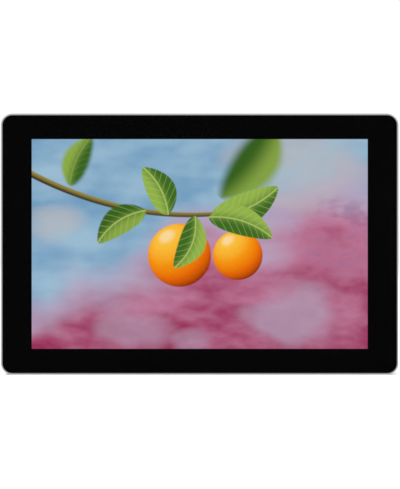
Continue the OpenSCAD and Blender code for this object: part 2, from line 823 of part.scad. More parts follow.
// Sockets of the fan's and the battery's leads, and the shares where the coils and the shield cans stand
fan_lead_side = 17;
fan_socket_down = 4.5;
fan_socket = [6, 4, 2.4];
fan_socket_at = [fan_x + fan_lead_side, mid_z - fan_w / 2 - fan_socket_down];
lead_socket = [8, 5, 3];
coils = [[0.503, -0.811], [0.112, -0.811], [-0.140, -0.768]];
coil_r = 3.4;
coil_t = 3.4;
cans = [[-0.042, -0.263, 22, 14], [0.140, 0.621, 18, 14]];
can_t = 2.4;
can_wall = 0.3;
function on_board(share) = [share[0] * board_w / 2, board_z + share[1] * board_h / 2];

module board_components() {
    color([0.1, 0.1, 0.11]) {
        for (c = chips) block(on_board(c)[0], on_board(c)[1], parts_d, c[2], c[3], c[4]);
        block(fan_socket_at[0], fan_socket_at[1], parts_d, fan_socket[0], fan_socket[1], fan_socket[2]);
        block(lead_x, lead_z, parts_d, lead_socket[0], lead_socket[1], lead_socket[2]);
        for (c = coils) drum(on_board(c)[0], on_board(c)[1], parts_d, coil_t, coil_r);
        for (r = ribbons)
            block(r[0], ribbon_socket_z, board_d - socket_t, r[1] + 2 * socket_side, socket_h, socket_t);
    }
}

// Two folded tin boxes over the picture circuits
module shield_cans() {
    color([0.78, 0.79, 0.8]) for (c = cans) difference() {
        block(on_board(c)[0], on_board(c)[1], parts_d, c[2], c[3], can_t);
        block(on_board(c)[0], on_board(c)[1], parts_d - past, c[2] - 2 * can_wall, c[3] - 2 * can_wall,
            can_t + past - can_wall);
    }
}

module processor() {
    color([0.12, 0.12, 0.13]) block(sink_x, mid_z, parts_d, chip_w, chip_w, chip_t);
}

module thermal_pad() {
    color([0.5, 0.6, 0.72]) block(sink_x, mid_z, parts_d + chip_t, chip_w, chip_w, pad_t);
}

function sink_spots() = [for (x = [-1, 1]) [sink_x + x * sink_screw_x, mid_z + x * sink_screw_z]];

// Finned heat sink over the processor; the fins run along the air stream from the fan
module heat_sink() {
    fin_pitch = (sink_h - fin_t) / (fins - 1);
    color([0.7, 0.71, 0.73]) difference() {
        union() {
            block(sink_x, mid_z, sink_d, sink_w, sink_h, sink_base_t);
            for (i = [0 : fins - 1])
                block(sink_x, mid_z + (i - (fins - 1) / 2) * fin_pitch, sink_d, sink_w, fin_t,
                    sink_top - sink_d);
        }
        for (spot = sink_spots()) {
            drum(spot[0], spot[1], sink_d + sink_base_t, sink_top - sink_d, m2[1] + 2 * seat_gap);
            drum(spot[0], spot[1], sink_d - past, sink_base_t + 2 * past, m2[0] + seat_gap);
        }
    }
}

module heat_sink_screws() {
    color([0.75, 0.75, 0.77]) for (spot = sink_spots())
        back_screw(spot, sink_d + sink_base_t, m2, sink_d + sink_base_t - board_d);
}

// ---- Fan ----

fan_screw_bite = 1.6;

// Square frame with a round duct, four mounting holes, a motor base on three arms and the bearing tube
module fan_frame() {
    color([0.1, 0.1, 0.1]) {
        difference() {
            slab(fan_d, fan_t) translate([fan_x, mid_z]) difference() {
                rounded(fan_w, fan_w, fan_corner_r);
                circle(fan_bore_r);
                for (x = [-1, 1], z = [-1, 1]) translate([x * fan_hole, z * fan_hole])
                    circle(m2[0] + seat_gap);
            }
            for (spot = fan_spots()) drum(spot[0], spot[1], fan_d - past, m2[2] + past, m2[1] + seat_gap);
        }
        slab(fan_d, fan_base_t) translate([fan_x, mid_z]) difference() {
            union() {
                circle(fan_hub_r);
                intersection() {
                    circle(fan_bore_r + gap);
                    for (a = [30, 150, 270]) rotate(a) translate([0, -fan_strut_w / 2])
                        square([fan_bore_r + past, fan_strut_w]);
                }
            }
            circle(shaft_r + shaft_gap);
        }
        slab(fan_d + fan_base_t, bearing_back - fan_d - fan_base_t) translate([fan_x, mid_z]) difference() {
            circle(bearing_r);
            circle(shaft_r + shaft_gap);
        }
    }
}

// Four wound poles round the bearing tube, inside the hub
stator_r = 7.6;
stator_d = fan_d + fan_base_t;
stator_gap = 0.7;
stator_t = rotor_back - hub_cap_t - stator_gap - stator_d;
stator_core = 1.2;
pole_w = 4.4;
module fan_stator() {
    color([0.72, 0.4, 0.2]) slab(stator_d, stator_t) translate([fan_x, mid_z]) difference() {
        union() {
            circle(bearing_r + stator_core);
            intersection() {
                circle(stator_r);
                for (a = [0, 90]) rotate(a) square([2 * stator_r, pole_w], center = true);
            }
        }
        circle(bearing_r + screw_fit);
    }
}

// One blade seen along the shaft: a strip that sweeps back from root to tip
function blade_edge(r, side) = let(s = (r - fan_hub_r) / (fan_tip_r - fan_hub_r), a = blade_sweep * s * s)
    [r * cos(a) - side * blade_t / 2 * sin(a), r * sin(a) + side * blade_t / 2 * cos(a)];
blade_steps = 4;
module blade_shape() {
    root = fan_hub_r - blade_root_in;
    radii = [for (i = [0 : blade_steps]) root + (fan_tip_r - root) * i / blade_steps];
    polygon(concat([for (r = radii) blade_edge(r, 1)],
        [for (i = [blade_steps : -1 : 0]) blade_edge(radii[i], -1)]));
}

// Rotor: cup-shaped hub, shaft and swept, twisted blades
module fan_rotor() {
    color([0.12, 0.12, 0.12]) {
        difference() {
            drum(fan_x, mid_z, rotor_d, rotor_h, fan_hub_r);
            drum(fan_x, mid_z, rotor_d - past, rotor_h - hub_cap_t + past, fan_hub_r - hub_wall);
        }
        drum(fan_x, mid_z, fan_d + gap, rotor_back - fan_d - gap - hub_cap_t / 2, shaft_r);
        translate([fan_x, front_y + rotor_back - blade_in, mid_z]) rotate([90, 0, 0])
            for (i = [0 : blades - 1]) rotate(i * 360 / blades)
                linear_extrude(rotor_h - 2 * blade_in, twist = blade_twist, slices = blade_slices, $fn = 12)
                    blade_shape();
    }
}

module fan_screws() {
    color([0.6, 0.6, 0.62]) for (spot = fan_spots()) difference() {
        union() {
            drum(spot[0], spot[1], fan_d, m2[2], m2[1]);
            drum(spot[0], spot[1], fan_d + seam_t, fan_t + fan_screw_bite - seam_t, m2[0]);
        }
        translate([spot[0], front_y + fan_d - past, spot[1]]) rotate([-90, 0, 0])
            cylinder(h = past + drive_depth, r = m2[1] * drive_share, $fn = 6);
    }
}

// Two wires side by side from the fan's lower side to its socket on the board
fan_lead_in = 2;
fan_wire_r = 0.5;
wire_apart = 1.3;
lead_pull = 4;
module fan_lead() {
    start = [fan_x + fan_lead_side, front_y + fan_d + fan_lead_in, mid_z - fan_w / 2];
    end = [fan_socket_at[0], front_y + parts_d + fan_socket[2], fan_socket_at[1]];
    apart = [wire_apart * fan_wire_r, 0, 0];
    color([0.7, 0.1, 0.1]) for (i = [-1, 1])
        lead(start + i * apart, [0, 0, -lead_pull], [0, -lead_pull, 0], end + i * apart, fan_wire_r);
}

// ---- Ribbons ----

// Where the display's and the touch sensor's ribbons lie, and their widths
ribbons = [[-30, 22], [30, 8]];
ribbon_t = 0.3;
ribbon_up = 6;
ribbon_z = board_low + ribbon_up;
ribbon_slot_h = 10;
ribbon_room = 1;
ribbon_rise = 9;
ribbon_tail = 3.5;
ribbon_bend = 1;
ribbon_slope = 4;
ribbon_socket_z = ribbon_z + ribbon_rise;
socket_t = 1.4;
socket_h = 3;
socket_side = 1;

// A flat ribbon from the back of the display module, through the mid plate, into its socket
module ribbon(x, w) {
    low = ribbon_z - ribbon_tail;
    bend = ribbon_z + ribbon_bend;
    high = bend + ribbon_slope;
    plug_d = board_d - socket_t / 2 - ribbon_t / 2;
    plug_z = ribbon_socket_z - socket_h / 2;
    carry_x(x, w) polygon([[mid_d, low], [mid_d, bend], [plug_d, high], [plug_d, plug_z],
        [plug_d + ribbon_t, plug_z], [plug_d + ribbon_t, high - ribbon_t], [mid_d + ribbon_t, bend - ribbon_t],
        [mid_d + ribbon_t, low]]);
}

module display_ribbon() {
    color([0.8, 0.5, 0.1]) ribbon(ribbons[0][0], ribbons[0][1]);
}

module touch_ribbon() {
    color([0.8, 0.5, 0.1]) ribbon(ribbons[1][0], ribbons[1][1]);
}

// ---- Buttons ----

module switch_boards() {
    color([0.05, 0.22, 0.14]) for (s = [-1, 1])
        translate([s * button_x, front_y + button_dep, switch_board_top - switch_board_t / 2])
            cube([switch_board_w, switch_board_d, switch_board_t], center = true);
}

module button_switches() {
    color([0.2, 0.2, 0.2]) {
        for (s = [-1, 1]) translate([s * button_x, front_y + button_dep, switch_board_top]) {
            translate([0, 0, switch_h / 2]) cube([switch_w, switch_w, switch_h], center = true);
            translate([0, 0, switch_h]) cylinder(h = stem_h, r = stem_r);
        }
        translate([light_x, front_y + button_dep, switch_board_top + led_chip[2] / 2])
            cube(led_chip, center = true);
    }
}

// A button with round ends: the cap stands in the top wall, its flange is caught inside
module button_at(x) {
    flange_top = body_h - edge_wall - gap;
    translate([x, front_y + button_dep, 0]) {
        translate([0, 0, flange_top - button_flange_t]) {
            linear_extrude(body_h - button_sink - flange_top + button_flange_t)
                obround(button_w - 2 * button_gap, button_d - 2 * button_gap);
            linear_extrude(button_flange_t)
                obround(button_w + 2 * button_flange, button_d + 2 * button_flange);
        }
        translate([0, 0, nub_bottom]) cylinder(h = nub_h, r = stem_r);
    }
}

module power_button() {
    color([0.5, 0.08, 0.08]) button_at(button_x);
}

module back_button() {
    color([0.2, 0.2, 0.21]) button_at(-button_x);
}

// Clear light pipe from the LED to the top face
module status_light() {
    low = switch_board_top + led_chip[2] + seat_gap;
    color([0.85, 0.9, 0.85]) translate([light_x, front_y + button_dep, low])
        cylinder(h = body_h - low, r = light_r);
}

// ---- Connectors ----

// Camera video sockets in the left upper bay: bayonet barrel, threaded neck and board block
module bnc_bodies() {
    neck_x = wall_x - side_wall - past;
    block_x = wall_x - side_wall - bnc_block[0] + past;
    color([0.78, 0.76, 0.7]) on_side(-1) for (z = [-1, 1]) {
        cz = upper_bay_z + z * bnc_spread;
        difference() {
            union() {
                axle(neck_x, bnc_d, cz, side_wall + past + bnc_nut_t + seam_t, bnc_thread_r);
                axle(wall_x, bnc_d, cz, bnc_length, bnc_barrel_r);
                translate([block_x, front_y + parts_d, cz - bnc_block[2] / 2])
                    cube([bnc_block[0] - past, bnc_block[1], bnc_block[2]]);
                drum(wall_x + bnc_length - bnc_lug_in, cz, bnc_d - bnc_lug_reach, 2 * bnc_lug_reach,
                    bnc_lug_r);
            }
            axle(wall_x + bnc_nut_t + past, bnc_d, cz, bnc_length, bnc_bore_r);
            axle(wall_x - inner_reach - past, bnc_d, cz, inner_reach + bnc_length, bnc_core_r);
        }
    }
}

module bnc_insulators() {
    color([0.92, 0.92, 0.9]) on_side(-1) for (z = [-1, 1]) difference() {
        union() {
            axle(wall_x - side_wall - bnc_block[0] + past, bnc_d, upper_bay_z + z * bnc_spread,
                bnc_block[0] - past + side_wall + bnc_length - bnc_core_in, bnc_core_r);
            axle(wall_x + bnc_nut_t + past, bnc_d, upper_bay_z + z * bnc_spread, bnc_disc_t, bnc_bore_r);
        }
        axle(wall_x - bnc_length, bnc_d, upper_bay_z + z * bnc_spread, 2 * bnc_length + past, bnc_pin_r);
    }
}

module bnc_contacts() {
    back = side_wall + bnc_block[0] - past;
    color([0.85, 0.68, 0.3]) on_side(-1) for (z = [-1, 1]) difference() {
        axle(wall_x - back, bnc_d, upper_bay_z + z * bnc_spread, back + bnc_length - bnc_pin_in, bnc_pin_r);
        axle(wall_x + bnc_length - bnc_pin_in - bnc_pin_bore_l, bnc_d, upper_bay_z + z * bnc_spread,
            bnc_pin_bore_l + past, bnc_pin_bore_r);
    }
}

module bnc_nuts() {
    color([0.75, 0.74, 0.7]) on_side(-1) for (z = [-1, 1])
        nut_x(wall_x, bnc_d, upper_bay_z + z * bnc_spread, bnc_nut_af, bnc_nut_t, bnc_thread_r);
}

// Cross-section of the video socket's shell in depth and height, its lower corners cut
module hdmi_section(inset) {
    w = hdmi_w / 2 - inset;
    low = inset;
    top = hdmi_t - inset;
    polygon([[top, -w], [top, w], [low + hdmi_key, w], [low, w - hdmi_key], [low, -w + hdmi_key],
        [low + hdmi_key, -w]]);
}

module hdmi_at(z) {
    translate([0, front_y + parts_d, z]) rotate([90, 0, 90]) difference() {
        translate([0, 0, wall_x - inner_reach]) linear_extrude(inner_reach) hdmi_section(0);
        translate([0, 0, wall_x - inner_reach - past]) linear_extrude(inner_reach + 2 * past)
            hdmi_section(hdmi_wall);
    }
}

module hdmi_shells() {
    color([0.8, 0.81, 0.82]) {
        on_side(-1) hdmi_at(left_hdmi_z);
        hdmi_at(right_hdmi_z);
    }
}

// Black core of the socket: a block at the back that carries the contact tongue
module hdmi_tongue_at(z) {
    translate([0, front_y + parts_d, z]) rotate([90, 0, 90]) {
        translate([0, 0, wall_x - inner_reach]) linear_extrude(tongue_root) hdmi_section(hdmi_wall);
        translate([(hdmi_t - hdmi_tongue[1]) / 2, -hdmi_tongue[0] / 2, wall_x - inner_reach])
            cube([hdmi_tongue[1], hdmi_tongue[0], inner_reach - tongue_in]);
    }
}

module hdmi_tongues() {
    color([0.08, 0.08, 0.08]) {
        on_side(-1) hdmi_tongue_at(left_hdmi_z);
        hdmi_tongue_at(right_hdmi_z);
    }
}

// Reversible data socket: an oval tube
module usb_shell() {
    color([0.8, 0.81, 0.82]) translate([wall_x - inner_reach, front_y + parts_d + usb_t / 2, usb_z])
        rotate([0, 90, 0]) linear_extrude(inner_reach) difference() {
            obround(usb_w, usb_t);
            obround(usb_w - 2 * usb_wall, usb_t - 2 * usb_wall);
        }
}

module usb_tongue() {
    color([0.08, 0.08, 0.08]) translate([wall_x - inner_reach, front_y + parts_d + usb_t / 2, usb_z])
        rotate([0, 90, 0]) {
            linear_extrude(tongue_root) obround(usb_w - 2 * usb_wall, usb_t - 2 * usb_wall);
            linear_extrude(inner_reach - tongue_in) square(usb_tongue_size, center = true);
        }
}

// The jack's nose, or its hole: a square bar with round edges, along the jack's axis
module jack_nose_at(x, l, more) {
    w = jack_nose + 2 * more;
    translate([x, front_y + parts_d + jack_body[1] / 2, jack_z]) rotate([90, 0, 90])
        linear_extrude(l) rounded(w, w, jack_nose_r);
}

// Headphone jack: block on the board with a nose that ends flush with the wall
module headphone_jack() {
    jack_d = parts_d + jack_body[1] / 2;
    color([0.09, 0.09, 0.1]) on_side(-1) difference() {
        union() {
            jack_nose_at(wall_x - side_wall - past, side_wall + past, 0);
            translate([wall_x - side_wall - jack_body[0], front_y + parts_d, jack_z - jack_body[2] / 2])
                cube(jack_body);
        }
        axle(wall_x - jack_bore_l, jack_d, jack_z, jack_bore_l + past, jack_bore_r);
    }
}

// Two round push-pull sockets in the right lower bay, for power and for accessories
module round_shells() {
    color([0.74, 0.74, 0.75]) for (z = [-1, 1]) {
        cz = lower_bay_z + z * round_spread;
        difference() {
            union() {
                axle(wall_x - side_wall - round_depth, round_d, cz, side_wall + round_depth, round_r);
                axle(wall_x, round_d, cz, round_flange_t, round_flange_r);
            }
            axle(wall_x - side_wall - round_depth - past, round_d, cz, 2 * bay_x, round_bore_r);
        }
    }
}

// Insulating cores, stepped so that the plug's sleeve goes in round them
module round_inserts() {
    back = side_wall + round_depth;
    color([0.15, 0.15, 0.15]) for (z = [-1, 1]) {
        cz = lower_bay_z + z * round_spread;
        difference() {
            union() {
                axle(wall_x - back, round_d, cz, round_base_l, round_bore_r);
                axle(wall_x - back, round_d, cz, back + round_flange_t - round_core_in, round_core_r);
            }
            pin_places(z) axle(wall_x - back - past, round_d, cz, 2 * bay_x, pin_r(z));
        }
    }
}

// Thick pins in the upper socket, for power, and thin ones in the lower one, for accessories
power_pins = 2;
power_pin_r = 0.45;
signal_pins = 5;
signal_pin_r = 0.28;
function pin_r(z) = z > 0 ? power_pin_r : signal_pin_r;
// The pins of one socket, turned about its axis
module pin_places(z) {
    count = z > 0 ? power_pins : signal_pins;
    for (i = [0 : count - 1]) let(a = i * 360 / count)
        translate([0, round_pin_ring * cos(a), round_pin_ring * sin(a)]) children();
}

module round_contacts() {
    back = side_wall + round_depth;
    color([0.85, 0.68, 0.3]) for (z = [-1, 1])
        pin_places(z) axle(wall_x - back - round_tail, round_d, lower_bay_z + z * round_spread,
            back + round_tail + round_flange_t - round_pin_in, pin_r(z));
}

module round_nuts() {
    color([0.7, 0.7, 0.72]) for (z = [-1, 1])
        nut_x(wall_x - side_wall - round_nut_t, round_d, lower_bay_z + z * round_spread, round_nut_af,
            round_nut_t, round_r);
}

// ---- Battery plate ----

function plate_spots() = [for (x = [-1, 1], z = [-1, 1])
    [x * plate_screw_x, mid_z + z * (plate_h / 2 - plate_screw_in)]];

// Plate with two slide rails; hooks along the rails catch the battery's side grooves
module battery_plate() {
    slot_z = (latch_top + latch_low) / 2;
    color([0.09, 0.09, 0.1]) difference() {
        union() {
            slab(plate_front, floor_t) translate([0, mid_z]) rounded(plate_w, plate_h, plate_r);
            for (x = [-1, 1]) {
                slab(plate_front, plate_d) intersection() {
                    translate([0, mid_z]) rounded(plate_w, plate_h, plate_r);
                    translate([x * (plate_w - rail_w) / 2, mid_z]) square([rail_w, plate_h], center = true);
                }
                for (z = [-1, 1])
                    block(x * (slot_inner_w / 2 - hook_in / 2 + seam_t / 2), mid_z + hook_l + z * hook_spread,
                        total_d - hook_t, hook_in + seam_t, hook_l, hook_t);
            }
        }
        slab(plate_front - past, latch_front_d + latch_flange_t + gap - plate_front + past)
            translate([0, slot_z])
                square([latch_w + 2 * (latch_flange + slide_gap), latch_slot_h], center = true);
        slab(plate_front, plate_d) translate([0, slot_z])
            square([latch_w + 2 * slide_gap, latch_slot_h], center = true);
        for (spot = plate_spots()) flush_hole(spot, floor_d, m3, floor_t + past);
        drum(lead_x, lead_z, plate_front - past, floor_t + 2 * past, lead_hole_r);
    }
}

// Block at the low end that holds the contact blades
module terminal_block() {
    color([0.12, 0.12, 0.12]) difference() {
        block(0, terminal_low + terminal_h / 2, floor_d, terminal_w, terminal_h, plate_d - floor_t - seam_t);
        for (x = blade_spots)
            block(x, terminal_low + terminal_h, contact_d(), contact_w, 2 * contact_root, contact_t);
    }
}

contact_root = 3;
contact_in = 1.8;
function contact_d() = floor_d + contact_in;
module battery_contacts() {
    color([0.85, 0.7, 0.35]) for (x = blade_spots)
        block(x, terminal_low + terminal_h + (contact_l - contact_root) / 2, contact_d(), contact_w,
            contact_l + contact_root, contact_t);
}

// Latch: thumb pad, neck under the terminal block, flanges that the plate catches, and a ramped pawl
module battery_latch() {
    pad_top = latch_low + latch_pad_h;
    pawl_d = floor_d + latch_travel;
    color([0.55, 0.1, 0.1]) {
        carry_x(0, latch_w) polygon([[latch_front_d, latch_low], [floor_d + latch_pad_out, latch_low],
            [floor_d + latch_pad_out, pad_top], [latch_back_d, pad_top], [latch_back_d, latch_neck_top],
            [pawl_d, latch_neck_top], [pawl_d, latch_neck_top + pawl_flat], [latch_back_d, latch_top],
            [latch_front_d, latch_top]]);
        block(0, (latch_low + latch_top) / 2, latch_front_d, latch_w + 2 * latch_flange, latch_top - latch_low,
            latch_flange_t);
    }
}

// Bowed leaf spring between the cover's pocket and the latch
module latch_spring() {
    rise = latch_front_d - plate_front + latch_pocket;
    bow_r = (spring_l * spring_l / 4 + rise * rise) / (2 * rise);
    mid = (latch_low + latch_top) / 2;
    color([0.8, 0.8, 0.82]) carry_x(0, spring_w) intersection() {
        translate([latch_front_d - bow_r, mid]) difference() {
            circle(bow_r, $fn = 128);
            circle(bow_r - spring_t, $fn = 128);
        }
        translate([plate_front - latch_pocket, mid - spring_l]) square([rise + past, 2 * spring_l]);
    }
}

module plate_screws() {
    color([0.7, 0.7, 0.72]) for (spot = plate_spots())
        flush_screw(spot, floor_d, m3, floor_t + cover_t - seat_gap);
}

// Two wires from the terminal block through the cover to the board
lead_x = 8.6;
lead_z = terminal_low + terminal_h / 2;
lead_hole_r = 1.7;
battery_wire_r = 0.7;
module battery_lead() {
    start = [lead_x, front_y + floor_d, lead_z];
    end = [lead_x, front_y + parts_d + lead_socket[2], lead_z];
    apart = [wire_apart * battery_wire_r, 0, 0];
    color([0.65, 0.1, 0.1]) for (i = [-1, 1])
        lead(start + i * apart, [0, -lead_pull, 0], [0, -lead_pull, 0], end + i * apart, battery_wire_r);
}

cover_glass();
glass_gasket();
touch_sensor();
lcd_panel();
optical_films();
light_guide();
led_light_bar();
panel_frame();
backlight_tray();
front_chassis();
mid_plate();
main_housing();
mount_blocks();
rear_cover();
thread_inserts();
frame_screws();
cover_screws();
main_board();
board_standoffs();
board_screws();
board_components();
shield_cans();
processor();
thermal_pad();
heat_sink();
heat_sink_screws();
fan_frame();
fan_stator();
fan_rotor();
fan_screws();
fan_lead();
display_ribbon();
touch_ribbon();
switch_boards();
button_switches();
power_button();
back_button();
status_light();
bnc_bodies();
bnc_insulators();
bnc_contacts();
bnc_nuts();
hdmi_shells();
hdmi_tongues();
usb_shell();
usb_tongue();
headphone_jack();
round_shells();
round_inserts();
round_contacts();
round_nuts();
battery_plate();
terminal_block();
battery_contacts();
battery_latch();
latch_spring();
plate_screws();
battery_lead();
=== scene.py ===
import json
import math

import bmesh
import bpy
import numpy as np
from bpy.props import FloatProperty, FloatVectorProperty, IntProperty, PointerProperty
from bpy.types import Operator, Panel, PropertyGroup
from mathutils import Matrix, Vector


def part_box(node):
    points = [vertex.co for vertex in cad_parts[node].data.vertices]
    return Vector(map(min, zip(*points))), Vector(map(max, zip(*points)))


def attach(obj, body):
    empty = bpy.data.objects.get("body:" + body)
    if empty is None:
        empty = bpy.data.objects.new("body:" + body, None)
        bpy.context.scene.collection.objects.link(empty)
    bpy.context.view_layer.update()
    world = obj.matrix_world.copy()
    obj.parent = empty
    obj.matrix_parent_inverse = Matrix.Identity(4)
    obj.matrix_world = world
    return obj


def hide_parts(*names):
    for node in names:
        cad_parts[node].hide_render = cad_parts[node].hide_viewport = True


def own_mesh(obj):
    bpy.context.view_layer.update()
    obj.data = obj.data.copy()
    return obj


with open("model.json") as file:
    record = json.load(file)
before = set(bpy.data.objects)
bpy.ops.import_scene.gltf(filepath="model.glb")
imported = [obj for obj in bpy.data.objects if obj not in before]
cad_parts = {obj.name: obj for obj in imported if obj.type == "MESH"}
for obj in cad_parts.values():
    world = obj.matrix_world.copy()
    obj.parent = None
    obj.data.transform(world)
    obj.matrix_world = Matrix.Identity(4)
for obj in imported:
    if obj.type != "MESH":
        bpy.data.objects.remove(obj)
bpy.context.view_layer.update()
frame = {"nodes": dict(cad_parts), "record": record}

bl_info = {
    "name": "Camera Field Monitor",
    "version": (1, 0, 0),
    "blender": (4, 5, 0),
    "location": "View3D > Sidebar > Field Monitor",
    "description": "Finishes, fine pieces, light and camera of a seven inch camera field monitor",
    "category": "Object",
}

# The model stands on its bottom edge and faces -Y. Lengths are in metres, but for the tables of places and
# profiles, which say that they are in millimetres. Depth runs back from the front of the glass.
MM = 0.001
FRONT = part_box("cover_glass")[0].y
COVER_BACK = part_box("rear_cover")[1].y
INSERTS_LOW, INSERTS_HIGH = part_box("thread_inserts")
HALF_WIDTH = INSERTS_HIGH.x
HEIGHT = INSERTS_HIGH.z
MID_Z = HEIGHT / 2
SIDEWAYS = np.array([1.0, 0, 0])
SEAM = 1e-7  # Points nearer to each other than this are one.
UNLIT = (0.0, 0.0, 0.0, 1.0)


def rgb(red, green, blue):
    """A colour as a screen shows it, 0 to 255, in the linear values that shaders work with: a straight line
    for the darkest tones and a power of 2.4 above."""
    seen = np.array([red, green, blue]) / 255
    linear = np.where(seen <= 0.04045, seen / 12.92, ((seen + 0.055) / 1.055) ** 2.4)
    return (*(float(c) for c in linear), 1.0)


# ---- Sizes and colours that a user may change ----


def length(name, description, default):
    return FloatProperty(name=name, description=description, default=default, min=0, subtype="DISTANCE",
                         unit="LENGTH", precision=5)


def colour(name, description, default):
    return FloatVectorProperty(name=name, description=description, default=default, size=4, min=0, max=1,
                               subtype="COLOR")


class MonitorSizes(PropertyGroup):
    """Sizes of the picture and of the fine pieces."""

    picture_width: length("Picture width", "Width of the lit picture", 0.15)
    picture_height: length("Picture height", "Height of the lit picture", 0.0936)
    picture_up: length("Picture height above middle", "How far the picture sits above the middle", 0.00008)
    bevel_width: length("Bevel", "Width of the bright bevel round the glass", 0.00095)
    back_bevel: length("Back bevel", "Width of the bevel round the rear cover", 0.0016)
    thread_pitch: length("Thread pitch", "Distance from groove to groove of the mounting threads", 0.00127)
    thread_depth: length("Thread depth", "Depth of a thread groove", 0.00055)
    thread_radius: length("Thread radius", "Radius inside the thread's crests", 0.0026)
    thread_length: length("Thread length", "Length of a mounting thread", 0.008)
    button_dish: length("Button dish", "Depth of the hollow in a button's face", 0.00035)
    blade_thickness: length("Blade thickness", "Greatest thickness of a fan blade", 0.0012)
    blade_count: IntProperty(name="Blades", description="Number of fan blades", default=9, min=3, max=13)
    blade_twist: FloatProperty(name="Blade twist", description="Turn of a blade from front to back",
                               default=math.radians(27), subtype="ANGLE")
    blade_sweep: FloatProperty(name="Blade sweep", description="How far a blade's tip lies back of its root",
                               default=math.radians(24), subtype="ANGLE")
    grip_ribs: IntProperty(name="Grip ribs", description="Number of ribs on the battery latch", default=5,
                           min=2, max=8)
    fan_wire: length("Fan wire", "Radius of one of the fan's wires", 0.0005)
    battery_wire: length("Battery wire", "Radius of one of the battery's wires", 0.0007)


class MonitorColours(PropertyGroup):
    """Colours of the finishes and of the picture."""

    glass: colour("Glass", "Black border of the cover glass", (0.0009, 0.0009, 0.001, 1))
    casing: colour("Casing", "Black anodised aluminium", rgb(30, 30, 32))
    bevel: colour("Bevel", "Bright cut bevel of the front frame", rgb(233, 232, 234))
    steel: colour("Steel", "Stainless steel", rgb(196, 197, 199))
    brass: colour("Brass", "Brass standoffs", rgb(214, 178, 96))
    gold: colour("Gold", "Gold plated contacts", rgb(232, 190, 100))
    copper: colour("Copper", "Enamelled copper wire", rgb(196, 112, 60))
    board: colour("Circuit board", "Solder mask of the boards", rgb(18, 72, 48))
    plastic: colour("Plastic", "Black moulded plastic", rgb(26, 26, 28))
    power: colour("Power button", "Red power button", rgb(150, 14, 16))
    latch: colour("Latch", "Red battery latch", rgb(146, 16, 16))
    wire: colour("Wire", "Red insulation", rgb(190, 28, 26))
    sky_deep: colour("Picture deep blue", "Darker blue of the picture's ground", rgb(112, 158, 194))
    sky_pale: colour("Picture pale blue", "Paler blue of the picture's ground", rgb(158, 192, 214))
    wall_deep: colour("Picture deep pink", "Darker pink of the picture's ground", rgb(154, 44, 86))
    wall_pale: colour("Picture pale pink", "Paler pink of the picture's ground", rgb(194, 124, 156))
    haze: colour("Picture haze", "Pale haze between the two grounds", rgb(190, 174, 200))
    plaster: colour("Picture plaster", "Warm pale patches on the picture's ground", rgb(196, 192, 192))
    shade: colour("Picture shade", "Dark specks on the picture's ground", rgb(126, 92, 132))
    fruit: colour("Fruit", "Skin of the fruits", rgb(250, 150, 10))
    leaf_deep: colour("Leaf shade", "Darker green of the leaves", rgb(62, 108, 34))
    leaf_pale: colour("Leaf light", "Paler green of the leaves", rgb(148, 182, 76))


def sizes():
    return bpy.context.scene.monitor_sizes


def colours():
    return bpy.context.scene.monitor_colours


# ---- Shapes, worked out as whole arrays ----

# Each axis gives the way along it, and the two ways across it.
AXES = {
    "+x": np.array([[1.0, 0, 0], [0, 1, 0], [0, 0, 1]]),
    "-x": np.array([[-1.0, 0, 0], [0, 1, 0], [0, 0, 1]]),
    "+y": np.array([[0, 1.0, 0], [1, 0, 0], [0, 0, 1]]),
    "+z": np.array([[0, 0, 1.0], [1, 0, 0], [0, 1, 0]]),
    "-z": np.array([[0, 0, -1.0], [1, 0, 0], [0, 1, 0]]),
}


def spot(x, depth, z):
    """A place given in millimetres, by its depth behind the front of the glass."""
    return np.array([x * MM, FRONT + depth * MM, z * MM])


def row(count, pitch):
    """So many places at a steady pitch, with 0 in their middle."""
    return (np.arange(count) - (count - 1) / 2) * pitch


def circle(steps):
    """Angles once round, the last the same as the first so that the seam closes."""
    turn = np.linspace(0, 2 * np.pi, steps + 1)
    turn[-1] = 0
    return turn


def turned(profile, middle, axis, steps):
    """A profile in millimetres, turned about an axis: distance a and radius r at turn t go to
    middle + a * along + r * (cos t * side + sin t * up)."""
    along, side, up = AXES[axis]
    distance, radius = np.array(profile, float).T * MM
    turn = circle(steps)
    ring = np.cos(turn)[:, None] * side + np.sin(turn)[:, None] * up
    return np.asarray(middle) + distance[:, None, None] * along + radius[:, None, None] * ring


def prism(width, height, radius, levels, middle, axis, steps):
    """A rounded rectangle through levels of (distance, inset), all in millimetres. At each level the corners'
    middles lie at half the size less the radius, and the corners' arcs shrink by the inset until they are
    points, after which the middles move in."""
    along, side, up = AXES[axis]
    distance, inset = np.array(levels, float).T * MM
    quarter = np.linspace(0, np.pi / 2, steps)
    turn = np.concatenate([quarter + k * np.pi / 2 for k in range(4)] + [quarter[:1]])
    shares = [steps] * 4 + [1]
    right = np.repeat([1.0, -1, -1, 1, 1], shares)
    top = np.repeat([1.0, 1, -1, -1, 1], shares)
    arc = np.maximum(radius * MM - inset, 0)[:, None]
    past = np.maximum(inset - radius * MM, 0)[:, None]
    half_w = np.maximum((width / 2 - radius) * MM - past, 0)
    half_h = np.maximum((height / 2 - radius) * MM - past, 0)
    x = right * half_w + arc * np.cos(turn)
    y = top * half_h + arc * np.sin(turn)
    return np.asarray(middle) + distance[:, None, None] * along + x[..., None] * side + y[..., None] * up


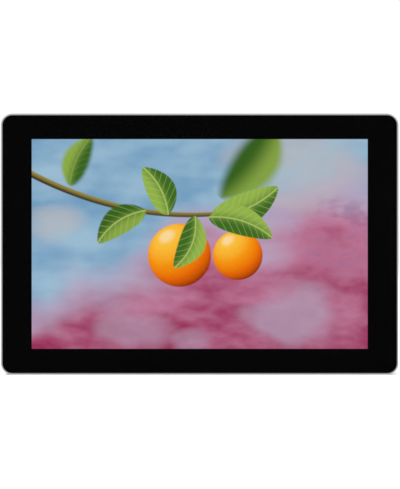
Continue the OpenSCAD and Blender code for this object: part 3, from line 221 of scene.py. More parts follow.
def pillow(half, squareness, rows, columns):
    """A soft block about the origin: signed powers of the cosines and sines of latitude and longitude, times
    its half sizes in millimetres. A power near 0 makes it square and 1 makes it an ellipsoid."""
    def power(value):
        return np.sign(value) * np.abs(value) ** squareness

    up = np.linspace(-np.pi / 2, np.pi / 2, rows)[:, None]
    turn = circle(columns - 1)[None, :]
    flat = np.cos(up)
    flat[[0, -1]] = 0
    flat = power(flat)
    shape = np.stack([flat * power(np.cos(turn)), flat * power(np.sin(turn)),
                      power(np.sin(up)) * np.ones_like(turn)], axis=-1)
    return shape * (np.array(half) * MM)


def strip_outline(half_width, half_thick, flat):
    """The outline of a flat strip with chamfered corners: a share of its width stays flat, and 0.6 of its
    thickness stays straight."""
    x = np.array([-1, -flat, flat, 1, 1, flat, -flat, -1, -1])
    y = np.array([-0.6, -1, -1, -0.6, 0.6, 1, 1, 0.6, -0.6])
    return np.stack([x * half_width, y * half_thick], axis=-1)


def carried(section, path):
    """A flat section carried along a path: its first coordinate runs sideways, and its second square to that
    and to the path's slope. Each end closes on the path's own end point."""
    up = np.cross(np.gradient(path, axis=0), SIDEWAYS)
    up /= np.linalg.norm(up, axis=1)[:, None]
    body = path[:, None] + section[None, :, :1] * SIDEWAYS + section[None, :, 1:] * up[:, None]
    ends = np.repeat(path[[0, -1]][:, None], len(section), axis=1)
    return np.concatenate([ends[:1], body, ends[1:]])


def curve(start, leave, arrive, end, steps):
    """A cubic curve that leaves the start along one vector and reaches the end along another."""
    t = np.linspace(0, 1, steps)[:, None]
    near, far = start + leave, end - arrive
    return (1 - t) ** 3 * start + 3 * t * (1 - t) ** 2 * near + 3 * t**2 * (1 - t) * far + t**3 * end


def strewn(shape, places):
    """Copies of one small shape: the same grid of points moved to each place in turn."""
    return [shape + place for place in np.asarray(places)]


def weave(patches):
    """Joins patches, each a grid of points, into one list of points and one of quads: the quad at row i and
    column j joins the points at i, j and i + 1, j + 1."""
    points, quads, count = [], [], 0
    for patch in patches:
        rows, columns = patch.shape[:2]
        first = count + np.arange(rows - 1)[:, None] * columns + np.arange(columns - 1)
        corners = [first, first + 1, first + columns + 1, first + columns]
        quads.append(np.stack(corners, axis=-1).reshape(-1, 4))
        points.append(patch.reshape(-1, 3))
        count += rows * columns
    return np.concatenate(points), np.concatenate(quads)


def linked(name, data):
    """A new object of the scene."""
    made = bpy.data.objects.new(name, data)
    bpy.context.scene.collection.objects.link(made)
    return made


def mesh_of(name, patches):
    """A mesh of the patches' points and quads."""
    points, quads = weave(patches)
    mesh = bpy.data.meshes.new(name)
    mesh.from_pydata(points.tolist(), [], quads.tolist())
    return mesh


def holders(slot):
    """The places on the CAD nodes that hold a material slot's finish."""
    nodes = [part["node"] for part in frame["record"]["subparts"] if part["material_slot"] == slot]
    return [holder for node in nodes for holder in frame["nodes"][node].material_slots]


def dress(slot, maker, *values, **widths):
    """Makes a material slot's finish and gives it to every CAD node of the slot."""
    finish = maker(slot, *values, **widths)
    for holder in holders(slot):
        holder.material = finish


def make_piece(name, patches, slot, *stands_for, body="monitor", finish=None, sharp=32):
    """Puts the patches into a mesh, closes its seams and poles, turns its faces outwards and sets it on its
    body. It takes the slot's finish unless it has its own. Edges that bend by more than the sharp angle, in
    degrees, stay sharp."""
    mesh = mesh_of(name, patches)
    work = bmesh.new()
    work.from_mesh(mesh)
    bmesh.ops.remove_doubles(work, verts=work.verts, dist=SEAM)
    bmesh.ops.delete(work, geom=[edge for edge in work.edges if edge.is_wire], context="EDGES")
    bmesh.ops.recalc_face_normals(work, faces=work.faces)
    work.to_mesh(mesh)
    work.free()
    mesh.shade_smooth()
    mesh.set_sharp_from_angle(angle=math.radians(sharp))
    mesh.materials.append(finish or holders(slot)[0].material)
    piece = linked(name, mesh)
    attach(piece, body)
    if stands_for:
        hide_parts(*stands_for)
    return piece


# ---- Shader maths ----


def worked(operation, reflected=False):
    """A method that adds a Math node of one operation, with its own value first, or last if reflected."""
    def method(self, *others):
        values = (*others, self) if reflected else (self, *others)
        return self.nodes.math(operation, *values)

    return method


class Value:
    """A number's socket that Python's operators work on. Each of them adds its Math node."""

    def __init__(self, nodes, socket):
        self.nodes = nodes
        self.socket = socket

    __add__ = __radd__ = worked("ADD")
    __sub__ = worked("SUBTRACT")
    __rsub__ = worked("SUBTRACT", reflected=True)
    __mul__ = __rmul__ = worked("MULTIPLY")
    __truediv__ = worked("DIVIDE")
    __rtruediv__ = worked("DIVIDE", reflected=True)
    __pow__ = worked("POWER")
    __abs__ = worked("ABSOLUTE")
    at_least = worked("MAXIMUM")
    at_most = worked("MINIMUM")
    above = worked("GREATER_THAN")
    sine = worked("SINE")
    fraction = worked("FRACT")

    def smooth(self, low, high):
        """0 below low, 1 above high and smooth between, or the other way round where low is the greater."""
        made = self.nodes.node("ShaderNodeMapRange", {"interpolation_type": "SMOOTHSTEP"},
                               {"Value": self, "From Min": low, "From Max": high})
        return Value(self.nodes, made.outputs["Result"])


class Nodes:
    """A node tree built up by calls. node() adds a node of any type; the rest are short for common ones."""

    def __init__(self, tree):
        tree.nodes.clear()
        self.tree = tree

    def node(self, kind, settings=None, inputs=None):
        """Adds a node: its settings first, a ramp's stops among them, then the values or links of its
        sockets."""
        made = self.tree.nodes.new(kind)
        for key, value in (settings or {}).items():
            if key == "stops":
                ramp = made.color_ramp
                for place, shade in value[1:-1]:
                    ramp.elements.new(place).color = shade
                ramp.elements[0].position, ramp.elements[0].color = value[0]
                ramp.elements[-1].position, ramp.elements[-1].color = value[-1]
            else:
                setattr(made, key, value)
        for key, value in (inputs or {}).items():
            self.feed(made.inputs[key], value)
        return made

    def feed(self, socket, value):
        """Links a socket to a value's socket, or sets its constant."""
        value = value.socket if isinstance(value, Value) else value
        if isinstance(value, bpy.types.NodeSocket):
            self.tree.links.new(value, socket)
        else:
            socket.default_value = value

    def math(self, operation, *values):
        made = self.node("ShaderNodeMath", {"operation": operation}, dict(enumerate(values)))
        return Value(self, made.outputs[0])

    def mix(self, factor, low, high):
        """A colour between two colours."""
        made = self.node("ShaderNodeMix", {"data_type": "RGBA"}, {0: factor, 6: low, 7: high})
        return made.outputs[2]

    def ramp(self, factor, stops):
        return self.node("ShaderNodeValToRGB", {"stops": stops}, {0: factor}).outputs[0]


class Finish(Nodes):
    """A material whose pattern lies on Object coordinates, which are metres in the model's own frame."""

    def __init__(self, name, **constants):
        self.material = bpy.data.materials.new(name)
        self.material.use_nodes = True
        super().__init__(self.material.node_tree)
        self.surface = self.node("ShaderNodeBsdfPrincipled")
        self.set(**constants)
        self.node("ShaderNodeOutputMaterial", None, {"Surface": self.surface.outputs[0]})
        self.place = self.node("ShaderNodeTexCoord").outputs["Object"]
        parts = self.node("ShaderNodeSeparateXYZ", None, {0: self.place})
        self.x, self.y, self.z = (Value(self, socket) for socket in parts.outputs)

    def set(self, **values):
        """Feeds sockets of the surface, named with _ for a space."""
        for key, value in values.items():
            self.feed(self.surface.inputs[key.replace("_", " ")], value)
        return self

    def noise(self, waves, detail, stretch=None):
        """Noise of so many waves to a metre, drawn out where stretch gives the axes different shares."""
        where = self.place
        if stretch:
            made = self.node("ShaderNodeVectorMath", {"operation": "MULTIPLY"}, {0: where, 1: stretch})
            where = made.outputs[0]
        made = self.node("ShaderNodeTexNoise", None, {"Vector": where, "Scale": waves, "Detail": detail})
        return Value(self, made.outputs["Fac"])

    def cells(self, count):
        """Distance to the nearest of points strewn so many to a metre."""
        made = self.node("ShaderNodeTexVoronoi", None, {"Vector": self.place, "Scale": count})
        return Value(self, made.outputs["Distance"])

    def bump(self, height, distance, strength):
        """Raises the surface by a height that runs from 0 to 1, times a distance in metres."""
        made = self.node("ShaderNodeBump", None,
                         {"Strength": strength, "Distance": distance, "Height": height})
        return self.set(Normal=made.outputs[0])


def shaded(base, share):
    """A colour made lighter or darker by a share, for the two ends of a mix."""
    return (*(min(1.0, c * share) for c in base[:3]), 1.0)


# ---- Finishes ----


def blasted(name, base, cut=None, worn=None):
    """Blasted and anodised aluminium: fine grain in colour, roughness and bump. cut gives the width of a
    bright machined bevel round the front, whose colour carries a painted reflection that runs from grey at
    the glass to bright at the outer edge, and worn the width of a bevel round the back whose two edges are
    rubbed pale in places."""
    metallic = 0.55
    made = Finish(name, Metallic=metallic, IOR=1.6)
    grain = made.noise(5200, 3)
    cloud = made.noise(60, 3)
    tone = made.mix(grain * 0.6 + cloud * 0.4, shaded(base, 0.72), shaded(base, 1.3))
    rough = 0.42 + (grain - 0.5) * 0.18 + (cloud - 0.5) * 0.12
    if worn:
        back = COVER_BACK - made.y
        inward = (HALF_WIDTH - abs(made.x)).at_most(MID_Z - abs(made.z - MID_Z))
        rubbed, gone, off_face = 0.00004, 0.00016, 0.0001
        outer = abs(back - worn).smooth(gone, rubbed) * inward.smooth(off_face, rubbed)
        inner = abs(inward - worn).smooth(gone, rubbed) * back.smooth(off_face, rubbed)
        rub = (outer + inner) * made.noise(430, 5).smooth(0.46, 0.72) * 0.36
        tone = made.mix(rub, tone, rgb(132, 132, 135))
    if cut:
        depth = made.y - FRONT
        border = 0.00003
        bright = depth.smooth(cut + border, cut - border)
        # Painted reflection on the bevel: its colour is grey where it meets the glass and brightens towards
        # the outer edge.
        painted_bevel_reflection = depth.smooth(0.0, cut * 0.9)
        lathe = made.noise(2600, 2, (1, 9, 1))
        shine = made.mix(painted_bevel_reflection * 0.85 + lathe * 0.15, rgb(126, 126, 128), colours().bevel)
        tone = made.mix(bright, tone, shine)
        rough = rough * (1 - bright) + bright * (0.16 + lathe * 0.1)
        made.set(Metallic=bright * 0.4 + metallic)
    return made.set(Base_Color=tone, Roughness=rough).bump(grain, 0.00002, 0.5).material


def milled(name, base, rough, waves, stretch):
    """Bare, plated or turned metal: tool marks drawn out along one way, in colour, roughness and bump."""
    made = Finish(name, Metallic=1.0)
    marks = made.noise(waves, 3, stretch)
    cloud = made.noise(140, 3)
    tone = made.mix(marks * 0.55 + cloud * 0.45, shaded(base, 0.78), shaded(base, 1.08))
    made.set(Base_Color=tone, Roughness=rough + (marks - 0.5) * 0.16 + (cloud - 0.5) * 0.14)
    return made.bump(marks, 0.000012, 0.5).material


def moulded(name, base, rough, waves, coat=0.0):
    """Moulded plastic or rubber: a spark-eroded grain, with faint cloudiness and fine scuffs."""
    made = Finish(name, IOR=1.5, Coat_Weight=coat, Coat_Roughness=0.2)
    grain = made.cells(waves)
    cloud = made.noise(110, 4)
    scuff = made.noise(700, 3, (1, 1, 0.15)).smooth(0.62, 0.75)
    tone = made.mix(grain * 0.5 + cloud * 0.5, shaded(base, 0.75), shaded(base, 1.25))
    made.set(Base_Color=made.mix(scuff * 0.12, tone, shaded(base, 2.5)),
             Roughness=rough + (cloud - 0.5) * 0.2 + scuff * 0.1)
    return made.bump(grain, 0.00003, 0.35).material


def circuit_board(name):
    """Solder mask over copper: raised tracks, vias and bare pads on a fibreglass ground. The tracks lie 1250
    to the metre, and noise bends them and breaks them off."""
    base = colours().board
    made = Finish(name, IOR=1.5, Coat_Weight=0.4, Coat_Roughness=0.15)
    lanes = ((made.z + made.noise(240, 0) * 0.004) * 1250).fraction()
    run = made.noise(190, 1, (1, 1, 0.3)).smooth(0.46, 0.5)
    track = lanes.smooth(0.45, 0.5) * lanes.smooth(0.95, 0.9) * run
    via = made.cells(620).smooth(0.17, 0.13) * made.noise(130, 1).smooth(0.5, 0.52)
    fibre = made.noise(4200, 2)
    tone = made.mix(track, shaded(base, 0.75), shaded(base, 1.7))
    tone = made.mix(fibre * 0.2, tone, shaded(base, 0.4))
    tone = made.mix(via, tone, colours().gold)
    made.set(Base_Color=tone, Metallic=via * 0.9, Roughness=0.45 - via * 0.15 + (fibre - 0.5) * 0.1)
    return made.bump(track * 0.8 + via, 0.00003, 0.6).material


def clear_sheet(name, base, rough, alpha, grid):
    """Clear film or light guide: faint dirt, and a printed grid of so many dots or cells to a metre."""
    made = Finish(name, IOR=1.49, Coat_Weight=0.3, Coat_Roughness=0.05)
    dirt = made.noise(300, 4)
    dots = ((made.x * grid).fraction() - 0.5) * ((made.z * grid).fraction() - 0.5)
    tone = made.mix(dirt, shaded(base, 0.85), base)
    tone = made.mix(abs(dots).smooth(0.12, 0.2), tone, shaded(base, 0.55))
    made.set(Base_Color=tone, Roughness=rough + dirt * 0.1, Alpha=alpha + dirt * 0.05)
    return made.bump(dirt, 0.00001, 0.2).material


def laminated(name):
    """Flexible ribbon: amber film over copper conductors that run along it, 2000 to the metre of width."""
    made = Finish(name, IOR=1.55, Coat_Weight=0.5, Coat_Roughness=0.12)
    lane = (made.x * 2000).fraction()
    copper = lane.smooth(0.2, 0.3) * lane.smooth(0.8, 0.7)
    cloud = made.noise(400, 3)
    tone = made.mix(copper, rgb(150, 84, 14), rgb(214, 138, 52))
    tone = made.mix(cloud * 0.3, tone, rgb(120, 62, 10))
    made.set(Base_Color=tone, Metallic=copper * 0.35, Roughness=0.3 + cloud * 0.15)
    return made.bump(copper, 0.00002, 0.5).material


def wound(name):
    """Coils of enamelled wire: fine turns side by side, as a sine of the depth, with painted shade that
    darkens the colour in the grooves between turns.
    """
    base = colours().copper
    made = Finish(name, Metallic=0.85, Coat_Weight=0.6, Coat_Roughness=0.1)
    turns = (made.y * 9000).sine() * 0.5 + 0.5
    cloud = made.noise(900, 2)
    # Painted shade: the colour darkens where the sine is low, in the grooves between turns; the cloud is
    # random tone.
    made.set(Base_Color=made.mix(turns * 0.7 + cloud * 0.3, shaded(base, 0.35), shaded(base, 1.15)),
             Roughness=0.28 + cloud * 0.15)
    return made.bump(turns, 0.00008, 0.8).material


def insulated(name, across):
    """Wire insulation, red on one side of a middle and black on the other, with a soft sheen and scuffs."""
    made = Finish(name, IOR=1.5, Coat_Weight=0.25, Coat_Roughness=0.25)
    scuff = made.noise(2600, 3)
    tone = made.mix(made.x.above(across), colours().wire, rgb(28, 28, 30))
    made.set(Base_Color=made.mix(scuff * 0.3, tone, rgb(60, 40, 40)), Roughness=0.42 + scuff * 0.15)
    return made.bump(scuff, 0.00001, 0.3).material


def glowing(name, base, glow, strength):
    """A lit part: a milky body with a soft glow that is uneven over it."""
    made = Finish(name, IOR=1.49, Emission_Strength=strength)
    cloud = made.noise(1500, 3)
    made.set(Base_Color=made.mix(cloud, shaded(base, 0.8), base), Roughness=0.25 + cloud * 0.2,
             Emission_Color=made.mix(cloud, shaded(glow, 0.75), glow))
    return made.bump(cloud, 0.00001, 0.3).material


class Picture(Finish):
    """A finish painted layer on layer: a fruiting twig before a soft ground. Places on it are u across and v
    up, in millimetres from the lit picture's middle."""

    def __init__(self, name, **constants):
        super().__init__(name, **constants)
        self.u = self.x / MM
        self.v = (self.z - MID_Z - sizes().picture_up) / MM
        self.seen = UNLIT

    def lay(self, mask, tint):
        """Lays a colour over what is seen so far, where the mask is 1."""
        self.seen = self.mix(mask, self.seen, tint)

    def blot(self, middle, reach, edge):
        """A soft patch: full at its middle and gone at its reach, two thirds as high as it is wide, with a
        border that the noise in edge moves."""
        across, up = (self.u - middle[0]) / reach, (self.v - middle[1]) / (reach * 0.66)
        return (across * across + up * up + (edge - 0.5) * 3).smooth(1.3, 0.0)

    def ground(self):
        """Blue runs into pink across a slanted, uneven border with pale haze on it, brushed along and
        blotched like plaster out of focus."""
        c = colours()
        cloud = self.noise(22, 1)
        brushed = self.noise(62, 2, (0.45, 1, 1))
        grain = self.noise(250, 2, (0.55, 1, 1))
        height = self.v - self.u * 0.36 + (cloud - 0.5) * 70 + (brushed - 0.5) * 30
        blue = (brushed * 0.86 + grain * 0.14).smooth(0.3, 0.7)
        pink = (brushed * 0.74 + grain * 0.26 + self.v * 0.005 + 0.13).smooth(0.27, 0.72)
        self.seen = self.mix(blue, c.sky_deep, c.sky_pale)
        self.seen = self.mix(height.smooth(-22, 14), self.mix(pink, c.wall_deep, c.wall_pale), self.seen)
        self.lay(abs(height + 4).smooth(24, 1) * 0.55, c.haze)
        for middle, reach, share, tint in (
            ((44, 38), 34, 0.6, c.plaster),
            ((-63, 8), 14, 0.6, c.plaster),
            ((42, -33), 24, 0.6, c.haze),
            ((-30, -38), 18, 0.45, c.haze),
            ((-2, -44), 10, 0.4, c.haze),
        ):
            self.lay(self.blot(middle, reach, brushed) * share, tint)
        specks = (brushed * 0.5 + grain * 0.5).smooth(0.46, 0.62)
        self.lay(self.blot((66, 4), 26, cloud) * specks * 0.4, c.shade)

    def twig(self):
        """A branch along a parabola that is lowest 4 mm left of the middle. It is lighter along its upper
        side, thins to its right and ends 5 to 8 mm right of the middle."""
        rise = self.v - 13 - (self.u + 4) * (self.u + 4) * 0.0036
        half = 1.0 - self.u * 0.008
        body = (half - abs(rise)).smooth(-0.35, 0.35) * self.u.smooth(8, 5)
        self.lay(body, self.mix(rise.smooth(-1.3, 1.2), rgb(62, 46, 22), rgb(150, 136, 66)))

    def leaf(self, root, angle, size, bow, blur=0.35, light=1.0, veins=1.0):
        """A leaf of a length and half width, turned by an angle in degrees. Its half width is a power of
        4 t (1 - t) along it, its midrib is bowed, and side veins run forward from the midrib."""
        c = colours()
        long, wide = size
        cos, sin = math.cos(math.radians(angle)), math.sin(math.radians(angle))
        right, up = self.u - root[0], self.v - root[1]
        along = right * cos + up * sin
        t = (along / long).at_least(0).at_most(1)
        hump = t * (1 - t) * 4
        side = up * cos - right * sin - hump * bow
        reach = abs(side)
        body = (hump ** 0.72 * wide * (1.12 - t * 0.3) - reach).smooth(-blur, blur)
        body = body * along.smooth(-0.5, 0.3) * along.smooth(long + 0.5, long - 0.3)
        green = self.mix(side.smooth(-wide * 0.5, wide * 0.6), shaded(c.leaf_deep, light),
                         shaded(c.leaf_pale, light))
        vein = ((along - reach * 0.9) * 1.9).sine().smooth(0.8, 1.0) * (0.28 * veins)
        rib = reach.smooth(0.55, 0.15) * (0.6 * veins)
        self.lay(body, self.mix(vein.at_least(rib), green, rgb(196, 216, 122)))

    def fruit(self, middle, radius):
        """A round fruit lit from the upper left: a ramp over the light that falls on a ball, with dimpled
        skin and a shine."""
        across, up = (self.u - middle[0]) / radius, (self.v - middle[1]) / radius
        out = across * across + up * up
        toward = (1 - out).at_least(0) ** 0.5
        light = toward * 0.66 - across * 0.42 + up * 0.62
        skin = light * 0.62 + 0.34 + (self.noise(1500, 2) - 0.5) * 0.16
        tone = self.ramp(skin, [(0.0, rgb(150, 48, 0)), (0.36, rgb(232, 104, 0)), (0.68, colours().fruit),
                                (0.92, rgb(255, 196, 60))])
        tone = self.mix(light.smooth(0.93, 1.0) * 0.55, tone, rgb(255, 240, 200))
        self.lay(out.smooth(1.06, 0.96), tone)


def black_glass(name):
    """Black-bordered glass, with the lit picture behind the middle of its front and smears in its gloss."""
    made = Picture(name, IOR=1.5, Specular_IOR_Level=0.5, Emission_Strength=0.94)
    made.ground()
    made.leaf((34, 52), -128, (40, 10), 3, 3.0, 0.8, 0.0)
    made.leaf((-58, 26), 66, (24, 6), 2, 1.4, 0.9, 0.3)
    made.twig()
    made.leaf((-24, 15), -146, (26, 6.4), -3, 0.5, 0.85)
    made.leaf((5, 12), 24, (33, 7.4), -3)
    made.fruit((17, -5), 11)
    made.leaf((4, 12), -18, (30, 6.6), 3)
    made.fruit((-9, -5), 14)
    made.leaf((-14, 13), 118, (24, 6.6), -2.4)
    made.leaf((-2, 12.5), -112, (25, 6.2), 3.4)
    border = 0.1
    half_w, half_h = sizes().picture_width / 2 / MM, sizes().picture_height / 2 / MM
    lit = abs(made.u).smooth(half_w + border, half_w - border)
    lit = lit * abs(made.v).smooth(half_h + border, half_h - border)
    lit = lit * made.y.smooth(FRONT + 0.0003, FRONT + 0.0001)
    smear = made.noise(45, 4)
    base = made.mix(smear, shaded(colours().glass, 0.8), shaded(colours().glass, 1.2))
    made.set(Base_Color=base, Roughness=0.05 + smear.smooth(0.45, 0.8) * 0.05,
             Emission_Color=made.mix(lit, UNLIT, made.seen))
    return made.material


# ---- Operators ----


class MONITOR_OT_camera(Operator):
    """Set the camera straight before the front, with a long lens"""

    bl_idname = "monitor.camera"
    bl_label = "Camera"

    def execute(self, context):
        distance, right, below = 0.7278, 0.00014, 0.00015
        lens = bpy.data.cameras.new("camera")
        lens.lens = 120
        lens.sensor_width = 36
        holder = linked("camera", lens)
        holder.location = (right, FRONT - distance, MID_Z - below)
        holder.rotation_euler = (math.pi / 2, 0, 0)
        context.scene.camera = holder
        return {"FINISHED"}


class MONITOR_OT_stage(Operator):
    """Lay a pale floor and set soft studio light round it"""

    bl_idname = "monitor.stage"
    bl_label = "Floor and light"

    def execute(self, context):
        """The floor is one flat patch. The world is plain white where the camera looks at it, and grey with a
        dark cone straight before the glass where a gloss mirrors it."""
        reach = np.array([-6.0, 6.0])
        x, y = np.meshgrid(reach, reach)
        mesh = mesh_of("floor", [np.stack([x, y, np.zeros_like(x)], axis=-1)])
        made = Finish("pale_floor", Specular_IOR_Level=0.0)
        paper = made.mix(made.noise(3, 2), (0.93, 0.93, 0.93, 1), (0.96, 0.96, 0.96, 1))
        mesh.materials.append(made.set(Base_Color=paper, Roughness=0.9).material)
        floor = linked("floor", mesh)
        floor.visible_glossy = False
        for name, place, size, watts in (
            ("key_light", (-0.9, -1.7, 1.9), 1.6, 60),
            ("fill_light", (1.5, -0.9, 1.5), 1.4, 28),
            ("back_light", (-0.5, 1.8, 1.7), 1.6, 40),
        ):
            lamp = bpy.data.lights.new(name, "AREA")
            lamp.shape = "DISK"
            lamp.size = size
            lamp.energy = watts
            holder = linked(name, lamp)
            holder.location = place
            aim = Vector((0, 0, MID_Z)) - Vector(place)
            holder.rotation_euler = aim.to_track_quat("-Z", "Y").to_euler()
        world = bpy.data.worlds.new("studio")
        world.use_nodes = True
        context.scene.world = world
        nodes = Nodes(world.node_tree)
        way = nodes.node("ShaderNodeTexCoord").outputs["Generated"]
        parts = nodes.node("ShaderNodeSeparateXYZ", None, {0: way})
        before = 0 - Value(nodes, parts.outputs["Y"])
        mirrored = nodes.mix(before.smooth(0.8, 0.97), (0.76, 0.77, 0.78, 1), (0.006, 0.006, 0.006, 1))
        glossy = nodes.node("ShaderNodeLightPath").outputs["Is Glossy Ray"]
        tone = nodes.mix(glossy, (1.06, 1.06, 1.06, 1), mirrored)
        sky = nodes.node("ShaderNodeBackground", None, {"Color": tone, "Strength": 1.0})
        nodes.node("ShaderNodeOutputWorld", None, {"Surface": sky.outputs[0]})
        context.scene.view_settings.view_transform = "Standard"
        return {"FINISHED"}


class MONITOR_OT_glass(Operator):
    """Dress the cover glass with its black border and lit picture"""

    bl_idname = "monitor.glass"
    bl_label = "Glass and picture"

    def execute(self, context):
        dress("black_glass", black_glass)
        return {"FINISHED"}


class MONITOR_OT_casing(Operator):
    """Dress the front frame, housing and rear cover in black anodised aluminium"""

    bl_idname = "monitor.casing"
    bl_label = "Casing finishes"

    def execute(self, context):
        base = colours().casing
        dress("anodised_frame", blasted, base, cut=sizes().bevel_width)
        dress("anodised_housing", blasted, base)
        dress("anodised_cover", blasted, shaded(base, 1.1), worn=sizes().back_bevel)
        return {"FINISHED"}


class MONITOR_OT_metals(Operator):
    """Dress the steel, nickel, tin, brass, gold and aluminium parts"""

    bl_idname = "monitor.metals"
    bl_label = "Metal finishes"

    def execute(self, context):
        c = colours()
        for slot, base, rough, waves, stretch in (
            ("bare_aluminium", rgb(188, 190, 194), 0.34, 1500, (0.2, 1, 1)),
            ("stainless_insert", c.steel, 0.24, 2600, (1, 1, 1)),
            ("black_screw", rgb(40, 40, 42), 0.36, 2200, (1, 1, 1)),
            ("steel_screw", rgb(186, 187, 190), 0.28, 2200, (1, 1, 1)),
            ("brass", c.brass, 0.27, 2400, (1, 0.3, 1)),
            ("tin_plate", rgb(206, 207, 208), 0.32, 1300, (1, 1, 1)),
            ("nickel", rgb(210, 206, 196), 0.22, 1900, (0.3, 1, 1)),
            ("gold_contact", c.gold, 0.22, 3000, (0.3, 1, 0.5)),
            ("spring_steel", rgb(176, 178, 182), 0.26, 1600, (1, 1, 0.2)),
            ("pressed_steel", rgb(160, 162, 165), 0.42, 1200, (0.15, 1, 1)),
        ):
            dress(slot, milled, base, rough, waves, stretch)
        dress("copper_winding", wound)
        return {"FINISHED"}


class MONITOR_OT_plastics(Operator):
    """Dress the moulded plastic, rubber and foam parts"""

    bl_idname = "monitor.plastics"
    bl_label = "Plastic finishes"

    def execute(self, context):
        c = colours()
        for slot, base, rough, waves, coat in (
            ("black_plastic", c.plastic, 0.42, 3600, 0.0),
            ("battery_plastic", shaded(c.plastic, 1.15), 0.5, 2600, 0.0),
            ("latch_plastic", c.latch, 0.38, 3800, 0.15),
            ("red_button", c.power, 0.34, 4200, 0.25),
            ("black_button", rgb(52, 52, 56), 0.4, 4200, 0.2),
            ("white_insulator", rgb(232, 231, 226), 0.34, 3000, 0.1),
            ("white_moulding", rgb(228, 228, 222), 0.45, 2600, 0.0),
            ("black_foam", rgb(24, 24, 25), 0.9, 5200, 0.0),
            ("black_chip", rgb(30, 31, 33), 0.4, 5600, 0.0),
            ("thermal_pad", rgb(128, 150, 184), 0.7, 2400, 0.0),
            ("white_film", rgb(232, 236, 238), 0.5, 1800, 0.1),
        ):
            dress(slot, moulded, base, rough, waves, coat)
        return {"FINISHED"}


class MONITOR_OT_electronics(Operator):
    """Dress the boards, ribbons, films, light guide and lights"""

    bl_idname = "monitor.electronics"
    bl_label = "Electronics finishes"

    def execute(self, context):
        dress("circuit_board", circuit_board)
        dress("amber_ribbon", laminated)
        dress("red_wire", insulated, 0)
        dress("touch_film", clear_sheet, rgb(190, 200, 204), 0.12, 0.42, 180)
        dress("lcd_cell", clear_sheet, rgb(74, 84, 96), 0.18, 0.9, 900)
        dress("clear_acrylic", clear_sheet, rgb(216, 226, 230), 0.08, 0.55, 420)
        dress("led_strip", glowing, rgb(238, 226, 150), rgb(255, 244, 210), 0.5)
        dress("light_pipe", glowing, rgb(70, 130, 84), rgb(50, 235, 100), 0.6)
        return {"FINISHED"}


class MONITOR_OT_threads(Operator):
    """Cut real threads into the four mounting inserts"""

    bl_idname = "monitor.threads"
    bl_label = "Mounting threads"

    def execute(self, context):
        """Inside a sleeve the radius at distance a and turn t is the crest radius plus the groove's depth
        times a triangle wave of a / pitch - t / (2 pi), which dies away at the mouth, where a chamfer opens
        it. Outside it is plain."""
        s = sizes()
        outer = (INSERTS_HIGH.y - INSERTS_LOW.y) / 2
        middle_y = (INSERTS_HIGH.y + INSERTS_LOW.y) / 2
        rim_chamfer, mouth_chamfer = 0.0002, 0.0005
        turn = circle(48)
        a = np.linspace(0, s.thread_length, 90)[:, None]
        phase = a / s.thread_pitch - turn / (2 * np.pi)
        wave = np.clip(1.5 - np.abs(2 * (phase - np.floor(phase)) - 1) * 2, 0, 1)
        wave = wave * np.clip((s.thread_length - a) / s.thread_pitch, 0, 1)
        mouth = np.clip(a - s.thread_length + mouth_chamfer, 0, None)
        inner = s.thread_radius + s.thread_depth * wave + mouth
        rim = np.array([outer - rim_chamfer, outer, outer, outer - rim_chamfer])[:, None]
        rim_a = np.array([s.thread_length, s.thread_length - rim_chamfer, rim_chamfer, 0.0])[:, None]
        radius = np.concatenate([inner, rim * np.ones_like(turn), inner[:1]])
        distance = np.concatenate([a, rim_a, a[:1]])[..., None]
        patches = []
        for axis, start in (
            ("+x", (HALF_WIDTH - s.thread_length, middle_y, MID_Z)),
            ("-x", (s.thread_length - HALF_WIDTH, middle_y, MID_Z)),
            ("+z", (0, middle_y, HEIGHT - s.thread_length)),
            ("-z", (0, middle_y, s.thread_length)),
        ):
            along, side, up = AXES[axis]
            ring = np.cos(turn)[:, None] * side + np.sin(turn)[:, None] * up
            patches.append(np.array(start) + distance * along + radius[..., None] * ring)
        finish = milled("threaded_steel", colours().steel, 0.22, 2600, (1, 1, 1))
        make_piece("threaded_inserts", patches, "stainless_insert", "thread_inserts", finish=finish)
        return {"FINISHED"}


class MONITOR_OT_buttons(Operator):
    """Shape the two dished buttons of the top face"""

    bl_idname = "monitor.buttons"
    bl_label = "Buttons"

    def execute(self, context):
        """The outline of a slot is carried up the flange and the cap, over a rounded edge, and then inwards
        over a hollow whose depth grows with the square of the way in. A turned pin stands under it. All is in
        millimetres."""
        dish = sizes().button_dish / MM
        foot, flange, chamfer = 0.6, 1.6, 0.15
        cap_inset, rounding, lip = 0.95, 0.35, 0.7
        pin = [(0, 0), (0, 1.3), (0.3, 1.6), (0.7, 1.6), (0.7, 0)]
        for node, slot in (("power_button", "red_button"), ("back_button", "black_button")):
            low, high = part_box(node)
            middle = np.array([(low.x + high.x) / 2, (low.y + high.y) / 2, low.z])
            wide, deep, top = np.subtract(high, low) / MM
            reach = deep / 2
            edge = [(top - rounding + rounding * math.sin(t), cap_inset + rounding * (1 - math.cos(t)))
                    for t in np.linspace(0, np.pi / 2, 6)]
            rim = cap_inset + lip
            hollow = [(top - dish * (1 - ((reach - inset) / (reach - rim)) ** 2), inset)
                      for inset in np.linspace(rim, reach, 9)]
            levels = [(foot, reach), (foot, chamfer), (foot + chamfer, 0), (flange - chamfer, 0),
                      (flange, chamfer), (flange, cap_inset), *edge, *hollow]
            patches = [prism(wide, deep, reach, levels, middle, "+z", 9), turned(pin, middle, "+z", 24)]
            make_piece(node + "_cap", patches, slot, node, body=node)
        return {"FINISHED"}


